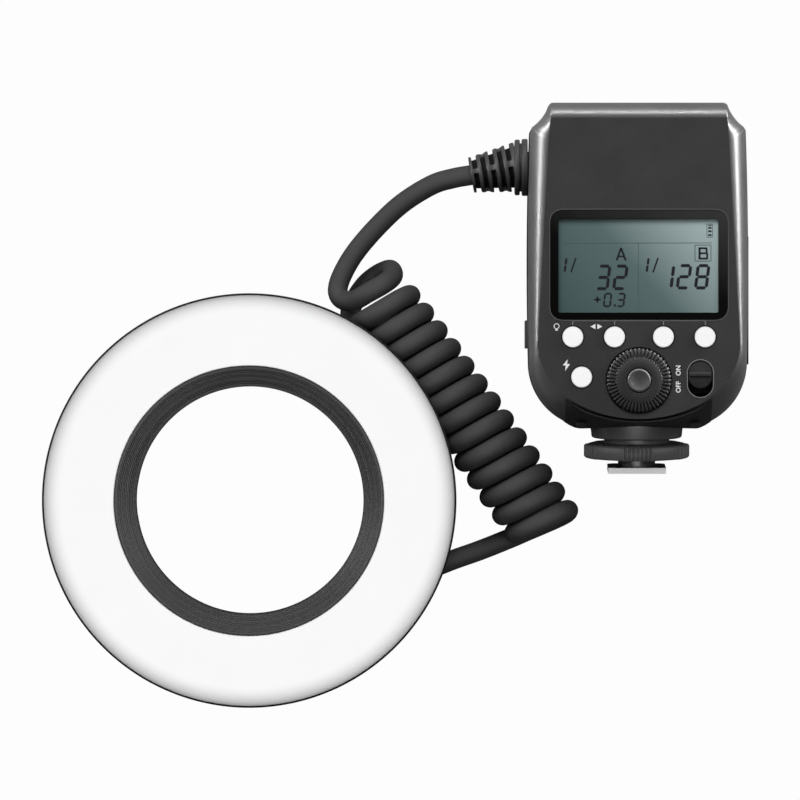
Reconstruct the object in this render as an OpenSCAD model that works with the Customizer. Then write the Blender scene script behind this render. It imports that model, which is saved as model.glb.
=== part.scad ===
// Macro ring flash: a ring head and a control unit lying on their backs, and the curly cord between them.
// Millimetres, +Z up. The origin is on the ring head's axis, at the back face that meets the lens adapter.

/* [Ring head] */
// Outer diameter of the ring head
ring_d = 133.5; // [128:0.5:140]
// Thickness of the ring head
ring_t = 34; // [33.5:0.5:38]
// Diameter of the clear hole
hole_d = 73.5; // [68:0.5:74.5]
// Diameter of the seat for the lens adapter
seat_d = 76; // [75.5:0.1:78]
// Depth of the seat for the lens adapter
seat_depth = 3; // [2:0.1:3]
// Front diameter of the ridged baffle
baffle_d = 86.7; // [86:0.1:90]
// Number of ridges in the baffle
baffle_ridges = 12; // [6:1:16]
// Diameter of the rear housing under the rim
housing_d = 118; // [116:0.5:119]
// Wall of the rear housing
housing_wall = 2; // [1.6:0.1:2.4]
// Wall of the diffuser
diffuser_wall = 1.6; // [1.2:0.1:2]
// Radius of the diffuser's outer round
diffuser_round = 6; // [4:0.5:7]
// Diameter of a flash tube
tube_d = 5; // [4:0.1:6]
// Travel of a release latch
latch_travel = 1.6; // [1:0.1:1.8]

/* [Control unit] */
// Width of the control unit
unit_w = 70.5; // [69:0.5:76]
// Height of the control unit without its foot
unit_h = 104.3; // [102:0.1:112]
// Depth of the control unit
unit_t = 54; // [53:0.5:60]
// Wall of the covers
cover_wall = 3; // [2.6:0.1:3.2]
// Wall of the control panel
panel_wall = 2.2; // [2:0.1:2.6]
// Depth over which the panel rolls off to the sides
roll_depth = 12; // [10:0.5:13]
// Width of the display window
window_w = 56.5; // [54:0.1:57]
// Height of the display window
window_h = 34.9; // [30:0.1:36]
// Thickness of the display window
window_t = 1.2; // [0.8:0.1:1.4]
// Black border between the window's edge and the display
window_border = 1.7; // [1.4:0.1:2.4]
// Diameter of a push button
button_d = 6.7; // [6:0.1:7]
// Travel of a push button
button_travel = 0.6; // [0.3:0.1:0.7]
// Diameter of the select dial
dial_d = 20.6; // [19:0.1:21]
// Ribs on the select dial
dial_ribs = 48; // [24:4:60]
// Diameter of the set button
set_d = 7.4; // [6.4:0.1:7.6]
// Width of the power switch's cap
switch_w = 7.6; // [7:0.1:7.8]
// Length of the power switch's cap
switch_l = 8.7; // [8:0.1:9]
// Travel of the power switch
switch_travel = 2.6; // [2:0.1:2.6]
// Length of the battery door
door_l = 41; // [38:0.5:43]
// Diameter of a battery cell
cell_d = 14.2; // [13.5:0.1:14.4]
// Length of a battery cell
cell_l = 50; // [48:0.5:50.5]
// Diameter of the flash capacitor
capacitor_d = 22; // [20:0.5:22]
// Length of the flash capacitor
capacitor_l = 44; // [36:1:46]

/* [Foot] */
// Lean of the foot away from the display side, in degrees
foot_tilt = 4.5; // [0:0.5:6]
// Diameter of the collar
collar_d = 30; // [28:0.5:30.5]
// Diameter of the lock wheel
wheel_d = 34; // [31:0.5:36]
// Thickness of the lock wheel
wheel_t = 4.7; // [4.2:0.1:5.5]
// Width of the shoe plate
shoe_w = 18.6; // [18.3:0.1:18.6]
// Length of the shoe plate
shoe_l = 18; // [17:0.1:18.5]
// Thickness of the shoe plate
shoe_t = 1.9; // [1.7:0.1:2]

/* [Cord] */
// Diameter of the cord
cord_d = 6.5; // [6:0.1:6.6]
// Outer diameter of the curls
coil_d = 25; // [24.6:0.1:25.2]
// Distance from curl to curl
coil_pitch = 7.09; // [7:0.01:7.2]
// Number of curls
coil_turns = 13; // [8:1:13]

/* [Hidden] */
$fn = 64;

// Clearances
slip = 0.1;
run = 0.05;
gap = 0.3;

// Where the control unit's lower edge lies beside the ring head
unit_x = 124.8;
unit_y = 23.3;

// Control unit: outline sizes, from the lower edge up
half_w = unit_w / 2;
side_bulge = 0.75;
bulge_v = unit_h / 2;
corner_r = 21.2;
corner_sweep = 75;
bottom_rise = 1.6;
shoulder_r = 15.1;
shoulder_c = [half_w + 7.5, unit_h + 4.4];
shoulder_start = [half_w - 2.05, unit_h - 9.2];
top_half = half_w - 7.85;
panel_top = unit_h - 5.1;
panel_half_top = half_w - 6.95;
panel_half_low = half_w - 2.95;
panel_arc_v = 27;
panel_arc_h = 24;
panel_turn = 56;
crease = 0.06;
low_crease = 0.9;
corner_steps = 8;
bottom_steps = 3;
part_z = unit_t - roll_depth - 2;
rear_roll = 8;
rear_inset = 5;
panel_in = unit_t - panel_wall;
front_inset = 1.2;
board_inset = 3;

// Things on the panel, from the middle line and the lower edge
window_v = 52.2;
window_r = 4;
button_v = 29.2;
button_u = [21.1, 7.8];
test_at = [-18.3, 16.4];
dial_at = [0, 15.3];
switch_at = [19.6, 15.9];
button_gap = 0.35;
button_proud = 0.6;
flange_t = 1.2;
flange_r = button_d / 2 + 0.95;
dial_recess = 1;
dial_proud = 1.6;
dial_top_r = dial_d / 2 * 0.72;
hub_r = 6;
set_gap = 0.25;
tail_r = set_d / 2 + 0.85;
switch_gap = 0.2;
switch_stem = [3, 4];
switch_half = [4, switch_stem[1] / 2 + switch_travel / 2 + 1.25];
screw_r = 1;
screw_head_r = 2;
pillar_r = 2;
pillar_at = [[22, unit_h - 11.3], [27, 22]];
cover_screw_r = 1.1;
cover_screw_at = [[half_w - 3.25, unit_h - 32.3], [25, 8]];
boss_r = 3.4;

// Levels inside the unit
board_t = 1.6;
board_z = panel_in - 5.8;
mat_t = 0.9;
mat_half = pillar_at[1][0] - pillar_r - gap;
dome_r = 2.4;
dome_h = 0.7;
button_foot_z = board_z + mat_t + dome_h + slip + button_travel;
window_z = unit_t - window_t - 0.15;
lcd_z = board_z + 3.55;
seat_z = part_z - 7;

// Battery compartment
cell_c = [41, 21.5];
cell_pitch = cell_d + 0.3;
box_in = 2 * cell_pitch + 0.3;
box_wall = 1.2;
box_end = half_w - cover_wall - 0.3;
cell_end = box_end - 0.3;
nub_l = 1.2;
contact_t = 0.6;
box_back = cell_end - cell_l - contact_t - 0.7;
door_v = cell_c[0];
door_low = 5;
door_barrel_r = 0.85;
door_axis = [half_w - 1.05, part_z - 1.2 - door_barrel_r];
door_in = door_axis[0] - door_barrel_r;
door_out = half_w + 0.35;
door_pin_r = 0.4;
pin_l = 1;

// Sockets on the left side
socket_v = 30.2;
socket_l = 9;
socket_low = 14;
socket_barrel_r = 0.8;
socket_axis = [half_w - 0.95, 31.2];
socket_in = socket_axis[0] - socket_barrel_r;
socket_out = half_w + 0.75;
socket_z = 23;

// Capacitor
capacitor_at = [unit_h - 28.3, 15.3];
saddle_t = 2;

// Foot
foot_z = 24;
collar_top = -5;
collar_low = 4.5;
neck_d = 21;
neck_low = 6.3;
stem_r = 6;
foot_base_t = 3.4;
nut_t = 3;
wheel_top = neck_low + slip;
wheel_low = wheel_top + wheel_t;
wheel_groups = 6;
group_ribs = 5;
group_share = 0.62;
scallop_steps = 7;
rib_h = 0.35;
scallop_h = 0.8;
sleeve_r = stem_r + 1.4;
washer_r = 9.5;
washer_h = 1.2;
shoe_top = wheel_low + 2.6;
pin_r = 1;
pin_y = -4.2;
contact_r = 0.8;
contact_at = [[0, 0], [-4.6, 4.6], [4.6, 4.6], [-4.6, -0.4], [4.6, -0.4]];
base_half = 23.4;
base_columns = 16;
base_gap = 0.35;
base_t = 0.7;
base_low = 9;
base_lean = 64;
base_screw_u = 18.1;

// Strain relief on the unit
relief_v = unit_h - 20.2;
relief_z = 20;
relief_r = 9.2;
relief_neck_r = 5;
relief_face = half_w - 0.15;
relief_flange = 4.2;
relief_root_r = 7.8;
relief_tip_r = cord_d / 2 + 2.3;
relief_l = 14.2;
relief_droop = 10;
relief_rows = 5;
relief_row_from = 0.6;
relief_row_pitch = 2.8;
relief_slot_w = 1.3;
relief_slot_depth = 1.3;
relief_slot_turn = 130;
relief_way = [-cos(relief_droop), -sin(relief_droop), 0];
relief_tip = [unit_x - relief_face - relief_flange, unit_y + relief_v, relief_z]
    + (relief_l + run) * relief_way;

// Ring head levels
ring_r = ring_d / 2;
housing_r = housing_d / 2;
seat_r = seat_d / 2;
hole_r = hole_d / 2;
baffle_r = baffle_d / 2;
sleeve_wall = 3.5;
sleeve_out = seat_r + sleeve_wall;
rear_t = 2;
flare_low = ring_t - 14.5;
rim_low = ring_t - 10;
ledge_z = ring_t - 8.6;
rim_top = ring_t - 7.4;
rim_lip = 0.55;
cone_low = 13;
board_low = 10;
post_r = 2.5;
post_at = housing_r - housing_wall - post_r - 1.5;
tray_low = 14;
tray_t = 0.8;
tube_r = tube_d / 2;
tube_ring = 52.5;
tube_z = tray_low + tray_t + tube_r + 1.6;
tube_sweep = 160;
lead_r = 1.3;
lamp_at = 49.2;
latch_t = 1.6;
latch_in = sleeve_out + latch_travel + 0.9;
latch_out = latch_in + 3.4;
latch_low = [seat_depth + 0.3, seat_depth + 0.3 + latch_t + gap];
latch_reach = hole_r + 0.45;
claw_w = 9;
pad_w = 16;
pad_in = 52;
pad_high = 8.3;

// Cord: the curl's line on the table, and its route points
coil_r = (coil_d - cord_d) / 2;
coil_way = [0.5644, -0.8255, 0];
coil_bend = [-0.0172, -0.0089, 0];
coil_last = [95.17, -8.37, coil_d / 2];
last_lift = 6.4;
curl_rings = 8;
curl_sides = 6;
lead_sides = 10;
upper_route = [
    relief_tip, relief_tip + 5.6 * relief_way, [58.9, 101.8, 18.9], [49.3, 95.9, 16.2], [41, 88.2, 13.4],
    [34, 80, 11.2]
];
loop_in = [
    [29.8, 72.8, 10.1], [28.4, 67.8, 10.3], [29.9, 64.9, 12], [33.6, 64.5, 16], [38.3, 67, 19.7],
    [43.4, 69.9, 19.1], [46.2, 72.4, 13.6], [45.4, 74.6, 8.2], [41.9, 73.4, 4.2], [38.2, 70.7, 3.4],
    [35.6, 67.6, 3.3], [33.6, 64.2, 3.5], [32.4, 60.5, 5.3], [33.4, 57.7, 8.4]
];
loop_out = [[102.5, -4.2, 8], [99.7, -5.8, 4.4], [95, -7.9, 3.3], [89.8, -10.1, 3.3]];
boot_tip = [housing_r + 1.8, -21.4, 6];
lower_route = [[84.5, -12.4, 3.3], [75, -16.2, 3.9], boot_tip + [5.6, 2.2, 0], boot_tip];
boot_turn = 21.7;
boot_l = 8.5;
boot_r = 5.2;

// Places

module at_unit() {
    translate([unit_x, unit_y, 0]) children();
}

module at_foot() {
    at_unit()
        translate([0, bottom_rise, foot_z])
            rotate([90 + foot_tilt, 0, 0]) children();
}

module pairs(places) {
    for (p = places, s = [-1, 1]) translate([s * p[0], p[1], 0]) children();
}

// Outlines of the control unit, as right halves from the top middle to the bottom middle

function on_circle(c, r, a) = c + r * [cos(a), sin(a)];

function arc(c, r, a0, a1, n) = [for (i = [0:n]) on_circle(c, r, a0 + (a1 - a0) * i / n)];

function side_u(v) = half_w - side_bulge * pow((v - bulge_v) / (unit_h - bulge_v - 9), 2);

function side_v(k) = shoulder_start[1] - k * (shoulder_start[1] - corner_r) / 6;

function corner_c() = [side_u(corner_r) - corner_r, corner_r];

function silhouette_half() = let (
    low = on_circle(corner_c(), corner_r, -corner_sweep),
    middle = [0, bottom_rise]
) concat(
    [[0, unit_h]],
    arc([top_half - 0.2, unit_h - 1.6], 1.6, 90, 27, 3),
    arc(shoulder_c, shoulder_r, 202, 234, 4),
    arc(shoulder_start, 1.3, 50, 0, 2),
    [for (k = [1:5]) [side_u(side_v(k)), side_v(k)]],
    arc(corner_c(), corner_r, 0, -corner_sweep, corner_steps),
    [for (k = [1:bottom_steps]) low + (middle - low) * k / bottom_steps]
);

function panel_u(v) = let (share = (panel_top - v) / (panel_top - panel_arc_v))
    panel_half_top + (panel_half_low - panel_half_top) * share;

function panel_low(a, inset) = [
    (panel_half_low - inset) * cos(a),
    panel_arc_v + (panel_arc_h - inset) * sin(a)
];

function panel_half(inset = 0) = concat(
    [[0, panel_top - inset]],
    arc([panel_half_top - 0.6 - inset, panel_top - 0.6 - inset], 0.6, 90, 27, 3),
    [for (k = [0:4]) let (v = panel_top - inset - 1 - 1.2 * k) [panel_u(v) - inset, v]],
    [for (k = [0:2]) let (v = panel_top - inset - 7 - 0.6 * k) [panel_u(v) - inset, v]],
    [for (k = [1:5]) let (v = side_v(k) - inset) [panel_u(v) - inset, v]],
    [for (k = [0:corner_steps]) panel_low(-panel_turn * k / corner_steps, inset)],
    [for (k = [1:bottom_steps]) panel_low(-panel_turn - (90 - panel_turn) * k / bottom_steps, inset)]
);

function flipped(p) = len(p) == 2 ? [-p[0], p[1]] : [-p[0], p[1], p[2]];

function mirrored(half) = concat(half, [for (i = [len(half) - 2:-1:1]) flipped(half[i])]);

// How sharply the panel's edge breaks: a little on the sides, almost straight to the lower edge
function crease_at(i, n) = let (j = i - (n - corner_steps - bottom_steps - 1))
    j < 0 ? crease : crease + (low_crease - crease) * min(1, j / corner_steps);

// A skin of stacked rings, closed by a fan at each end

function skin_faces(rings, n, low, high) = concat(
    [for (k = [0:rings - 2], i = [0:n - 1]) [k * n + i, k * n + (i + 1) % n, (k + 1) * n + (i + 1) % n]],
    [for (k = [0:rings - 2], i = [0:n - 1]) [k * n + i, (k + 1) * n + (i + 1) % n, (k + 1) * n + i]],
    [for (i = [0:n - 1]) [low, (i + 1) % n, i]],
    [for (i = [0:n - 1]) [high, (rings - 1) * n + i, (rings - 1) * n + (i + 1) % n]]
);

module skin(rings) {
    n = len(rings[0]);
    count = len(rings);
    points = concat(
        [for (ring = rings, p = ring) p],
        [[0, bulge_v, rings[0][0][2]], [0, bulge_v, rings[count - 1][0][2]]]
    );
    polyhedron(points, skin_faces(count, n, n * count, n * count + 1));
}

function at_level(outline, z) = [for (p = outline) [p[0], p[1], z]];

// Right half of one ring of the front cover: from the panel's edge at 0 degrees to the silhouette at 90
function front_half(turn) = let (s = silhouette_half(), p = panel_half(), n = len(s)) [
    for (i = [0:n - 1]) let (
        c = crease_at(i, n),
        at = p[i] + (s[i] - p[i]) * sin(turn),
        drop = (1 - c) * (1 - cos(turn)) + c * sin(turn)
    ) [at[0], at[1], unit_t - roll_depth * drop]
];

front_turns = [90, 76, 62, 48, 34, 18, 8, 0];

function front_rings() = concat(
    [at_level(mirrored(silhouette_half()), part_z)],
    [for (turn = front_turns) mirrored(front_half(turn))]
);

// One ring of the rear cover: from the silhouette at 0 degrees to the resting face at 90
function rear_ring(turn) = mirrored([
    for (p = silhouette_half()) let (
        low = [p[0] * (1 - rear_inset / half_w), bulge_v + (p[1] - bulge_v) * (1 - rear_inset / bulge_v)],
        at = low + (p - low) * cos(turn)
    ) [at[0], at[1], rear_roll * (1 - sin(turn))]
]);

function rear_rings() = concat(
    [for (turn = [90, 68, 46, 24, 0]) rear_ring(turn)],
    [at_level(mirrored(silhouette_half()), part_z)]
);

// Inside of the rear cover
function rear_cavity_half() = concat(
    [[0, unit_h - 8], [half_w - 9, unit_h - 8], [side_u(side_v(0)) - cover_wall - 0.5, unit_h - 13]],
    [for (k = [1:5]) [side_u(side_v(k)) - cover_wall, side_v(k)]],
    arc(corner_c(), corner_r - cover_wall, 0, -corner_sweep, corner_steps),
    [[0, bottom_rise + cover_wall]]
);

// Shared shapes

module rod(r, from, to) {
    translate([0, 0, from]) cylinder(r = r, h = to - from);
}

module pipe(r_out, r_in, from, to) {
    difference() {
        rod(r_out, from, to);
        rod(r_in, from - 1, to + 1);
    }
}

module bar(low, high) {
    translate(low) cube(high - low);
}

// A slot with round ends along Y
module stadium(w, l) {
    for (s = [-1, 1]) translate([0, s * (l - w) / 2]) circle(d = w);
    square([w, l - w], center = true);
}

module rounded_box(w, h, r) {
    square([w - 2 * r, h], center = true);
    square([w, h - 2 * r], center = true);
    for (x = [-1, 1], y = [-1, 1]) translate([x * (w / 2 - r), y * (h / 2 - r)]) circle(r = r);
}

// Outline of a ribbed wheel
function teeth(count, r_low, r_high) = [
    for (i = [0:count - 1], k = [0:3])
        on_circle([0, 0], k < 2 ? r_high : r_low, (i + [0, 0.5, 0.5, 1][k]) * 360 / count)
];

function button_places() = [
    [-button_u[0], button_v], [-button_u[1], button_v], [button_u[1], button_v], [button_u[0], button_v],
    test_at
];

// Control unit: covers

module front_cover() {
    color([0.26, 0.26, 0.27])
        at_unit() {
            difference() {
                skin(front_rings());
                translate([0, 0, part_z - 1])
                    linear_extrude(panel_in - part_z + 1) {
                        polygon(mirrored(panel_half(front_inset)));
                        switch_room();
                    }
                window_cuts();
                button_cuts();
                dial_cuts();
                switch_cuts();
                pairs(cover_screw_at) rod(cover_screw_r + run, part_z - 1, part_z + 5);
                base_screw_places() rod(screw_r + run, -4, 2);
            }
            pairs(pillar_at) pipe(pillar_r, screw_r + run, board_z + run, panel_in + 0.2);
        }
}

module window_cuts() {
    translate([0, window_v, panel_in - 1]) linear_extrude(panel_wall + 2)
        rounded_box(window_w - 2 * window_border, window_h - 2 * window_border, 1);
    translate([0, window_v, window_z - run]) linear_extrude(panel_wall)
        rounded_box(window_w + 2 * slip, window_h + 2 * slip, window_r + slip);
}

module button_cuts() {
    for (p = button_places()) translate(p) rod(button_d / 2 + button_gap, panel_in - 1, unit_t + 1);
}

module dial_cuts() {
    translate(dial_at) {
        rod(dial_d / 2 + 0.4, unit_t - dial_recess, unit_t + 1);
        rod(hub_r + gap, panel_in - 1, unit_t + 1);
    }
}

module switch_cuts() {
    translate([switch_at[0], switch_at[1], panel_in - 1]) linear_extrude(panel_wall + 2)
        stadium(switch_w + 2 * switch_gap, switch_l + switch_travel + 2 * switch_gap);
}

module switch_room() {
    translate(switch_at) {
        stadium(switch_w + 1.2 + 2 * gap, switch_l + 0.9 + switch_travel + 2 * gap);
        square(2 * (switch_half + [gap, gap]), center = true);
    }
}

module rear_cover() {
    color([0.13, 0.13, 0.13])
        difference() {
            at_unit()
                difference() {
                    skin(rear_rings());
                    difference() {
                        translate([0, 0, cover_wall])
                            linear_extrude(part_z) polygon(mirrored(rear_cavity_half()));
                        pairs(cover_screw_at) rod(boss_r, 0, part_z);
                        for (s = [-1, 1]) capacitor_saddle(s * capacitor_l * 0.3);
                    }
                    pairs(cover_screw_at) {
                        rod(cover_screw_r + slip, 0, part_z + 1);
                        rod(screw_head_r + gap, -1, seat_z);
                    }
                    door_cuts();
                    socket_cuts();
                    relief_place() rod(relief_neck_r + slip, -8, 3);
                }
            at_foot() rod(collar_d / 2 + slip, collar_top - 6, collar_low + 3);
        }
}

module capacitor_saddle(u) {
    difference() {
        bar(
            [u - saddle_t / 2, capacitor_at[0] - 9, 0],
            [u + saddle_t / 2, capacitor_at[0] + 9, capacitor_at[1] - 5]
        );
        capacitor_axis() rod(capacitor_d / 2 + gap, -capacitor_l, capacitor_l);
    }
}

module capacitor_axis() {
    translate([0, capacitor_at[0], capacitor_at[1]]) rotate([0, 90, 0]) children();
}

module door_cuts() {
    side = door_l / 2 + 0.25;
    half = box_in / 2;
    bar(
        [door_in - 0.2, door_v - side, door_low - 0.25],
        [half_w + 5, door_v + side, door_axis[1] + door_barrel_r + 0.25]
    );
    bar(
        [half_w - cover_wall - 3, cell_c[0] - half, cell_c[1] - half],
        [half_w + 5, cell_c[0] + half, cell_c[1] + half]
    );
    door_hinge() rod(door_pin_r + run, -side - pin_l, side + pin_l);
}

module door_hinge() {
    translate([door_axis[0], door_v, door_axis[1]]) rotate([-90, 0, 0]) children();
}

module socket_hinge() {
    translate([-socket_axis[0], socket_v, socket_axis[1]]) rotate([-90, 0, 0]) children();
}

module socket_cuts() {
    side = socket_l / 2 + 0.25;
    bar(
        [-half_w - 5, socket_v - side, socket_low - 0.25],
        [-socket_in + 0.2, socket_v + side, socket_axis[1] + socket_barrel_r + 0.25]
    );
    bar(
        [-half_w - 5, socket_v - 3.5, socket_z - 6.5],
        [-half_w + cover_wall + 2, socket_v + 3.5, socket_z + 6.5]
    );
    socket_hinge() rod(door_pin_r + run, -side - pin_l, side + pin_l);
}

module cover_screws() {
    color("silver")
        at_unit()
            pairs(cover_screw_at) {
                rod(screw_head_r, seat_z - 2, seat_z - run);
                rod(cover_screw_r, seat_z - 0.2, part_z + 4.5);
            }
}

// Control unit: display

module display_window() {
    color([0.02, 0.02, 0.02])
        at_unit()
            translate([0, window_v, window_z])
                linear_extrude(window_t) rounded_box(window_w, window_h, window_r);
}

module lcd_outline() {
    square([window_w - 2 * window_border - 0.4, window_h - 2 * window_border - 0.4], center = true);
}

module lcd_panel() {
    color([0.4, 0.5, 0.5])
        at_unit()
            translate([0, window_v, lcd_z]) linear_extrude(window_z - run - lcd_z) lcd_outline();
}

module backlight_frame() {
    color("white")
        at_unit()
            translate([0, window_v, board_z]) linear_extrude(lcd_z - board_z) lcd_outline();
}

// Control unit: buttons, dial and switch

module button(at) {
    top = unit_t + button_proud;
    color("white")
        at_unit()
            translate(at) {
                rod(button_d / 2, button_foot_z, top - 0.3);
                translate([0, 0, top - 0.3]) cylinder(r1 = button_d / 2, r2 = button_d / 2 - 0.3, h = 0.3);
                rod(flange_r, panel_in - flange_t - run, panel_in - run);
            }
}

module lamp_button() {
    button(button_places()[0]);
}

module mode_button() {
    button(button_places()[1]);
}

module function_button() {
    button(button_places()[2]);
}

module ratio_button() {
    button(button_places()[3]);
}

module test_button() {
    button(button_places()[4]);
}

module select_dial() {
    low = unit_t - dial_recess + 0.2;
    rib_z = unit_t + dial_proud - 0.7;
    color([0.18, 0.18, 0.18])
        at_unit()
            translate(dial_at)
                difference() {
                    union() {
                        translate([0, 0, low]) linear_extrude(rib_z - low)
                            polygon(teeth(dial_ribs, dial_d / 2 - 0.45, dial_d / 2));
                        translate([0, 0, rib_z - slip]) linear_extrude(0.45 + slip)
                            polygon(teeth(dial_ribs, dial_top_r - 0.4, dial_d / 2 - 0.25));
                        rod(dial_top_r, low + slip, unit_t + dial_proud);
                        rod(hub_r, board_z + 4.4, low + 0.2);
                        rod(tail_r, board_z + 1.2, low + 0.2);
                    }
                    rod(set_d / 2 + set_gap, board_z, unit_t + dial_proud + 1);
                }
}

module set_button() {
    top = unit_t + dial_proud;
    color([0.16, 0.16, 0.16])
        at_unit()
            translate(dial_at) {
                rod(set_d / 2, board_z + 2.2 + button_travel, top + 0.1);
                translate([0, 0, top + 0.1]) cylinder(r1 = set_d / 2, r2 = set_d / 2 - 0.4, h = 0.4);
            }
}

module dial_encoder() {
    color("gray")
        at_unit()
            translate(dial_at) {
                pipe(hub_r + 1.6, tail_r + run, board_z, board_z + 4.2);
                rod(hub_r + 1.6, board_z, board_z + 0.6);
                rod(2, board_z, board_z + 2);
            }
}

module power_switch() {
    stem = switch_stem / 2;
    color([0.16, 0.16, 0.16])
        at_unit()
            translate([switch_at[0], switch_at[1] + switch_travel / 2, 0]) {
                translate([0, 0, panel_in - 0.6])
                    linear_extrude(panel_wall + 0.3) stadium(switch_w, switch_l);
                bar([-switch_w / 2 + 0.4, -0.7, unit_t - 0.5], [switch_w / 2 - 0.4, 0.7, unit_t + 0.3]);
                translate([0, 0, panel_in - 1.3])
                    linear_extrude(1.1) stadium(switch_w + 1.2, switch_l + 0.9);
                bar([-stem[0], -stem[1], board_z + 1], [stem[0], stem[1], panel_in - 1]);
            }
}

module switch_body() {
    slot = [switch_stem[0] / 2 + slip, switch_stem[1] / 2 + switch_travel / 2 + 0.25];
    color("silver")
        at_unit()
            translate([switch_at[0], switch_at[1], 0])
                difference() {
                    bar(concat(-switch_half, board_z), concat(switch_half, panel_in - 2.2));
                    bar([-slot[0], -slot[1], board_z + 0.6], [slot[0], slot[1], panel_in]);
                }
}

module key_mat() {
    color([0.3, 0.3, 0.3])
        at_unit() {
            difference() {
                translate([0, 0, board_z]) linear_extrude(mat_t)
                    intersection() {
                        polygon(mirrored(panel_half(board_inset + 1)));
                        translate([-mat_half, 0]) square([2 * mat_half, button_v + 4.6]);
                    }
                translate(dial_at) rod(hub_r + 2, board_z - 1, board_z + 2);
                bar([switch_at[0] - 4.4, 0, board_z - 1], [mat_half + 1, switch_at[1] + 5, board_z + 3]);
            }
            for (p = button_places())
                translate(p) rod(dome_r, board_z + mat_t - slip, board_z + mat_t + dome_h);
        }
}

module main_board() {
    color("darkgreen")
        at_unit()
            difference() {
                translate([0, 0, board_z - board_t])
                    linear_extrude(board_t) polygon(mirrored(panel_half(board_inset)));
                pairs(pillar_at) rod(screw_r + slip, 0, unit_t);
            }
}

module board_screws() {
    low = board_z - board_t;
    color("silver")
        at_unit()
            pairs(pillar_at) {
                rod(screw_head_r, low - 1.2, low);
                rod(screw_r, low - 0.2, board_z + 4);
            }
}

// Control unit: power

module flash_capacitor() {
    color([0.1, 0.12, 0.2])
        at_unit()
            capacitor_axis() {
                rod(capacitor_d / 2, -capacitor_l / 2, capacitor_l / 2 - 1);
                rod(capacitor_d / 2 - 1, capacitor_l / 2 - 1.1, capacitor_l / 2);
            }
}

module battery_box() {
    h = box_in / 2;
    out = h + box_wall;
    color([0.2, 0.2, 0.2])
        at_unit()
            translate([0, cell_c[0], cell_c[1]]) {
                difference() {
                    bar([box_back - box_wall, -out, -out], [box_end, out, out]);
                    bar([box_back, -h, -h], [box_end + 1, h, h]);
                }
                for (v = [-10, 8])
                    bar([box_back, v, cover_wall + run - cell_c[1]], [box_end - 4, v + 2, -h - 0.5]);
            }
}

module cell_places() {
    for (v = [-0.5, 0.5], z = [-0.5, 0.5])
        translate([0, cell_c[0] + v * cell_pitch, cell_c[1] + z * cell_pitch]) rotate([0, 90, 0]) children();
}

module battery_cells() {
    color([0.55, 0.45, 0.2])
        at_unit()
            cell_places() {
                rod(cell_d / 2, cell_end - cell_l, cell_end - nub_l);
                rod(2.6, cell_end - nub_l - 0.1, cell_end);
            }
}

module battery_contacts() {
    from = box_back + run;
    color("silver")
        at_unit() {
            for (z = [-0.5, 0.5])
                translate([0, cell_c[0], cell_c[1] + z * cell_pitch])
                    bar([from, -cell_pitch + 1, -5], [from + contact_t, cell_pitch - 1, 5]);
            cell_places() translate([0, 0, from + contact_t - 0.1]) cylinder(r1 = 3.6, r2 = 2.2, h = 0.6);
        }
}

module battery_door() {
    side = door_l / 2;
    plate = cell_pitch - 1;
    color([0.15, 0.15, 0.15])
        at_unit() {
            translate([0, door_v, 0])
                difference() {
                    union() {
                        bar([door_in, -side, door_low], [door_axis[0] + door_barrel_r, side, door_axis[1]]);
                        bar([door_in, -side, door_low], [door_out, side, door_axis[1] - 1.5]);
                    }
                    for (k = [0:4])
                        translate([door_out - 0.4, -9, door_low + 4 + 2 * k]) cube([1, 18, 1]);
                }
            door_hinge() {
                rod(door_barrel_r, -side, side);
                rod(door_pin_r, -side - pin_l, side + pin_l);
            }
            translate([0, cell_c[0], cell_c[1]])
                bar([door_in - 1.2, -plate, -plate], [door_in + 0.2, plate, plate]);
        }
}

module socket_block() {
    flange = -half_w + cover_wall + 0.6;
    color([0.12, 0.12, 0.12])
        at_unit()
            translate([0, socket_v, socket_z])
                difference() {
                    union() {
                        bar([-socket_in + 0.5, -3.2, -6.3], [flange + 6, 3.2, 6.3]);
                        bar([flange, -5, -8], [flange + 3, 5, 8]);
                    }
                    bar([-half_w, -1.4, -4.6], [flange + 3, 1.4, 4.6]);
                }
}

module socket_cover() {
    side = socket_l / 2;
    color([0.1, 0.1, 0.1])
        at_unit() {
            translate([0, socket_v, 0]) {
                bar(
                    [-socket_axis[0] - socket_barrel_r, -side, socket_low],
                    [-socket_in, side, socket_axis[1]]
                );
                bar([-socket_out, -side, socket_low], [-socket_in, side, socket_axis[1] - 1.5]);
            }
            socket_hinge() {
                rod(socket_barrel_r, -side, side);
                rod(door_pin_r, -side - pin_l, side + pin_l);
            }
        }
}

// Foot

// Where a half ring's lower part passes a given distance from the middle line
function across(half, u) = let (
    first = len(half) - corner_steps - bottom_steps - 1,
    i = max([for (k = [first:len(half) - 2]) if (half[k][0] >= abs(u)) k]),
    share = (half[i][0] - abs(u)) / (half[i][0] - half[i + 1][0]),
    p = half[i] + (half[i + 1] - half[i]) * share
) [u, p[1], p[2]];

base_way = [0, -sin(base_lean), cos(base_lean)];

function base_rows() = concat(
    [for (turn = [8, 18, 34, 48, 62, 76, 90]) front_half(turn)],
    [for (z = [part_z, (part_z + base_low) / 2, base_low]) at_level(silhouette_half(), z)]
);

function base_grid(lift) = [
    for (row = base_rows(), k = [0:base_columns])
        across(row, base_half * (2 * k / base_columns - 1)) + lift * base_way
];

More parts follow.
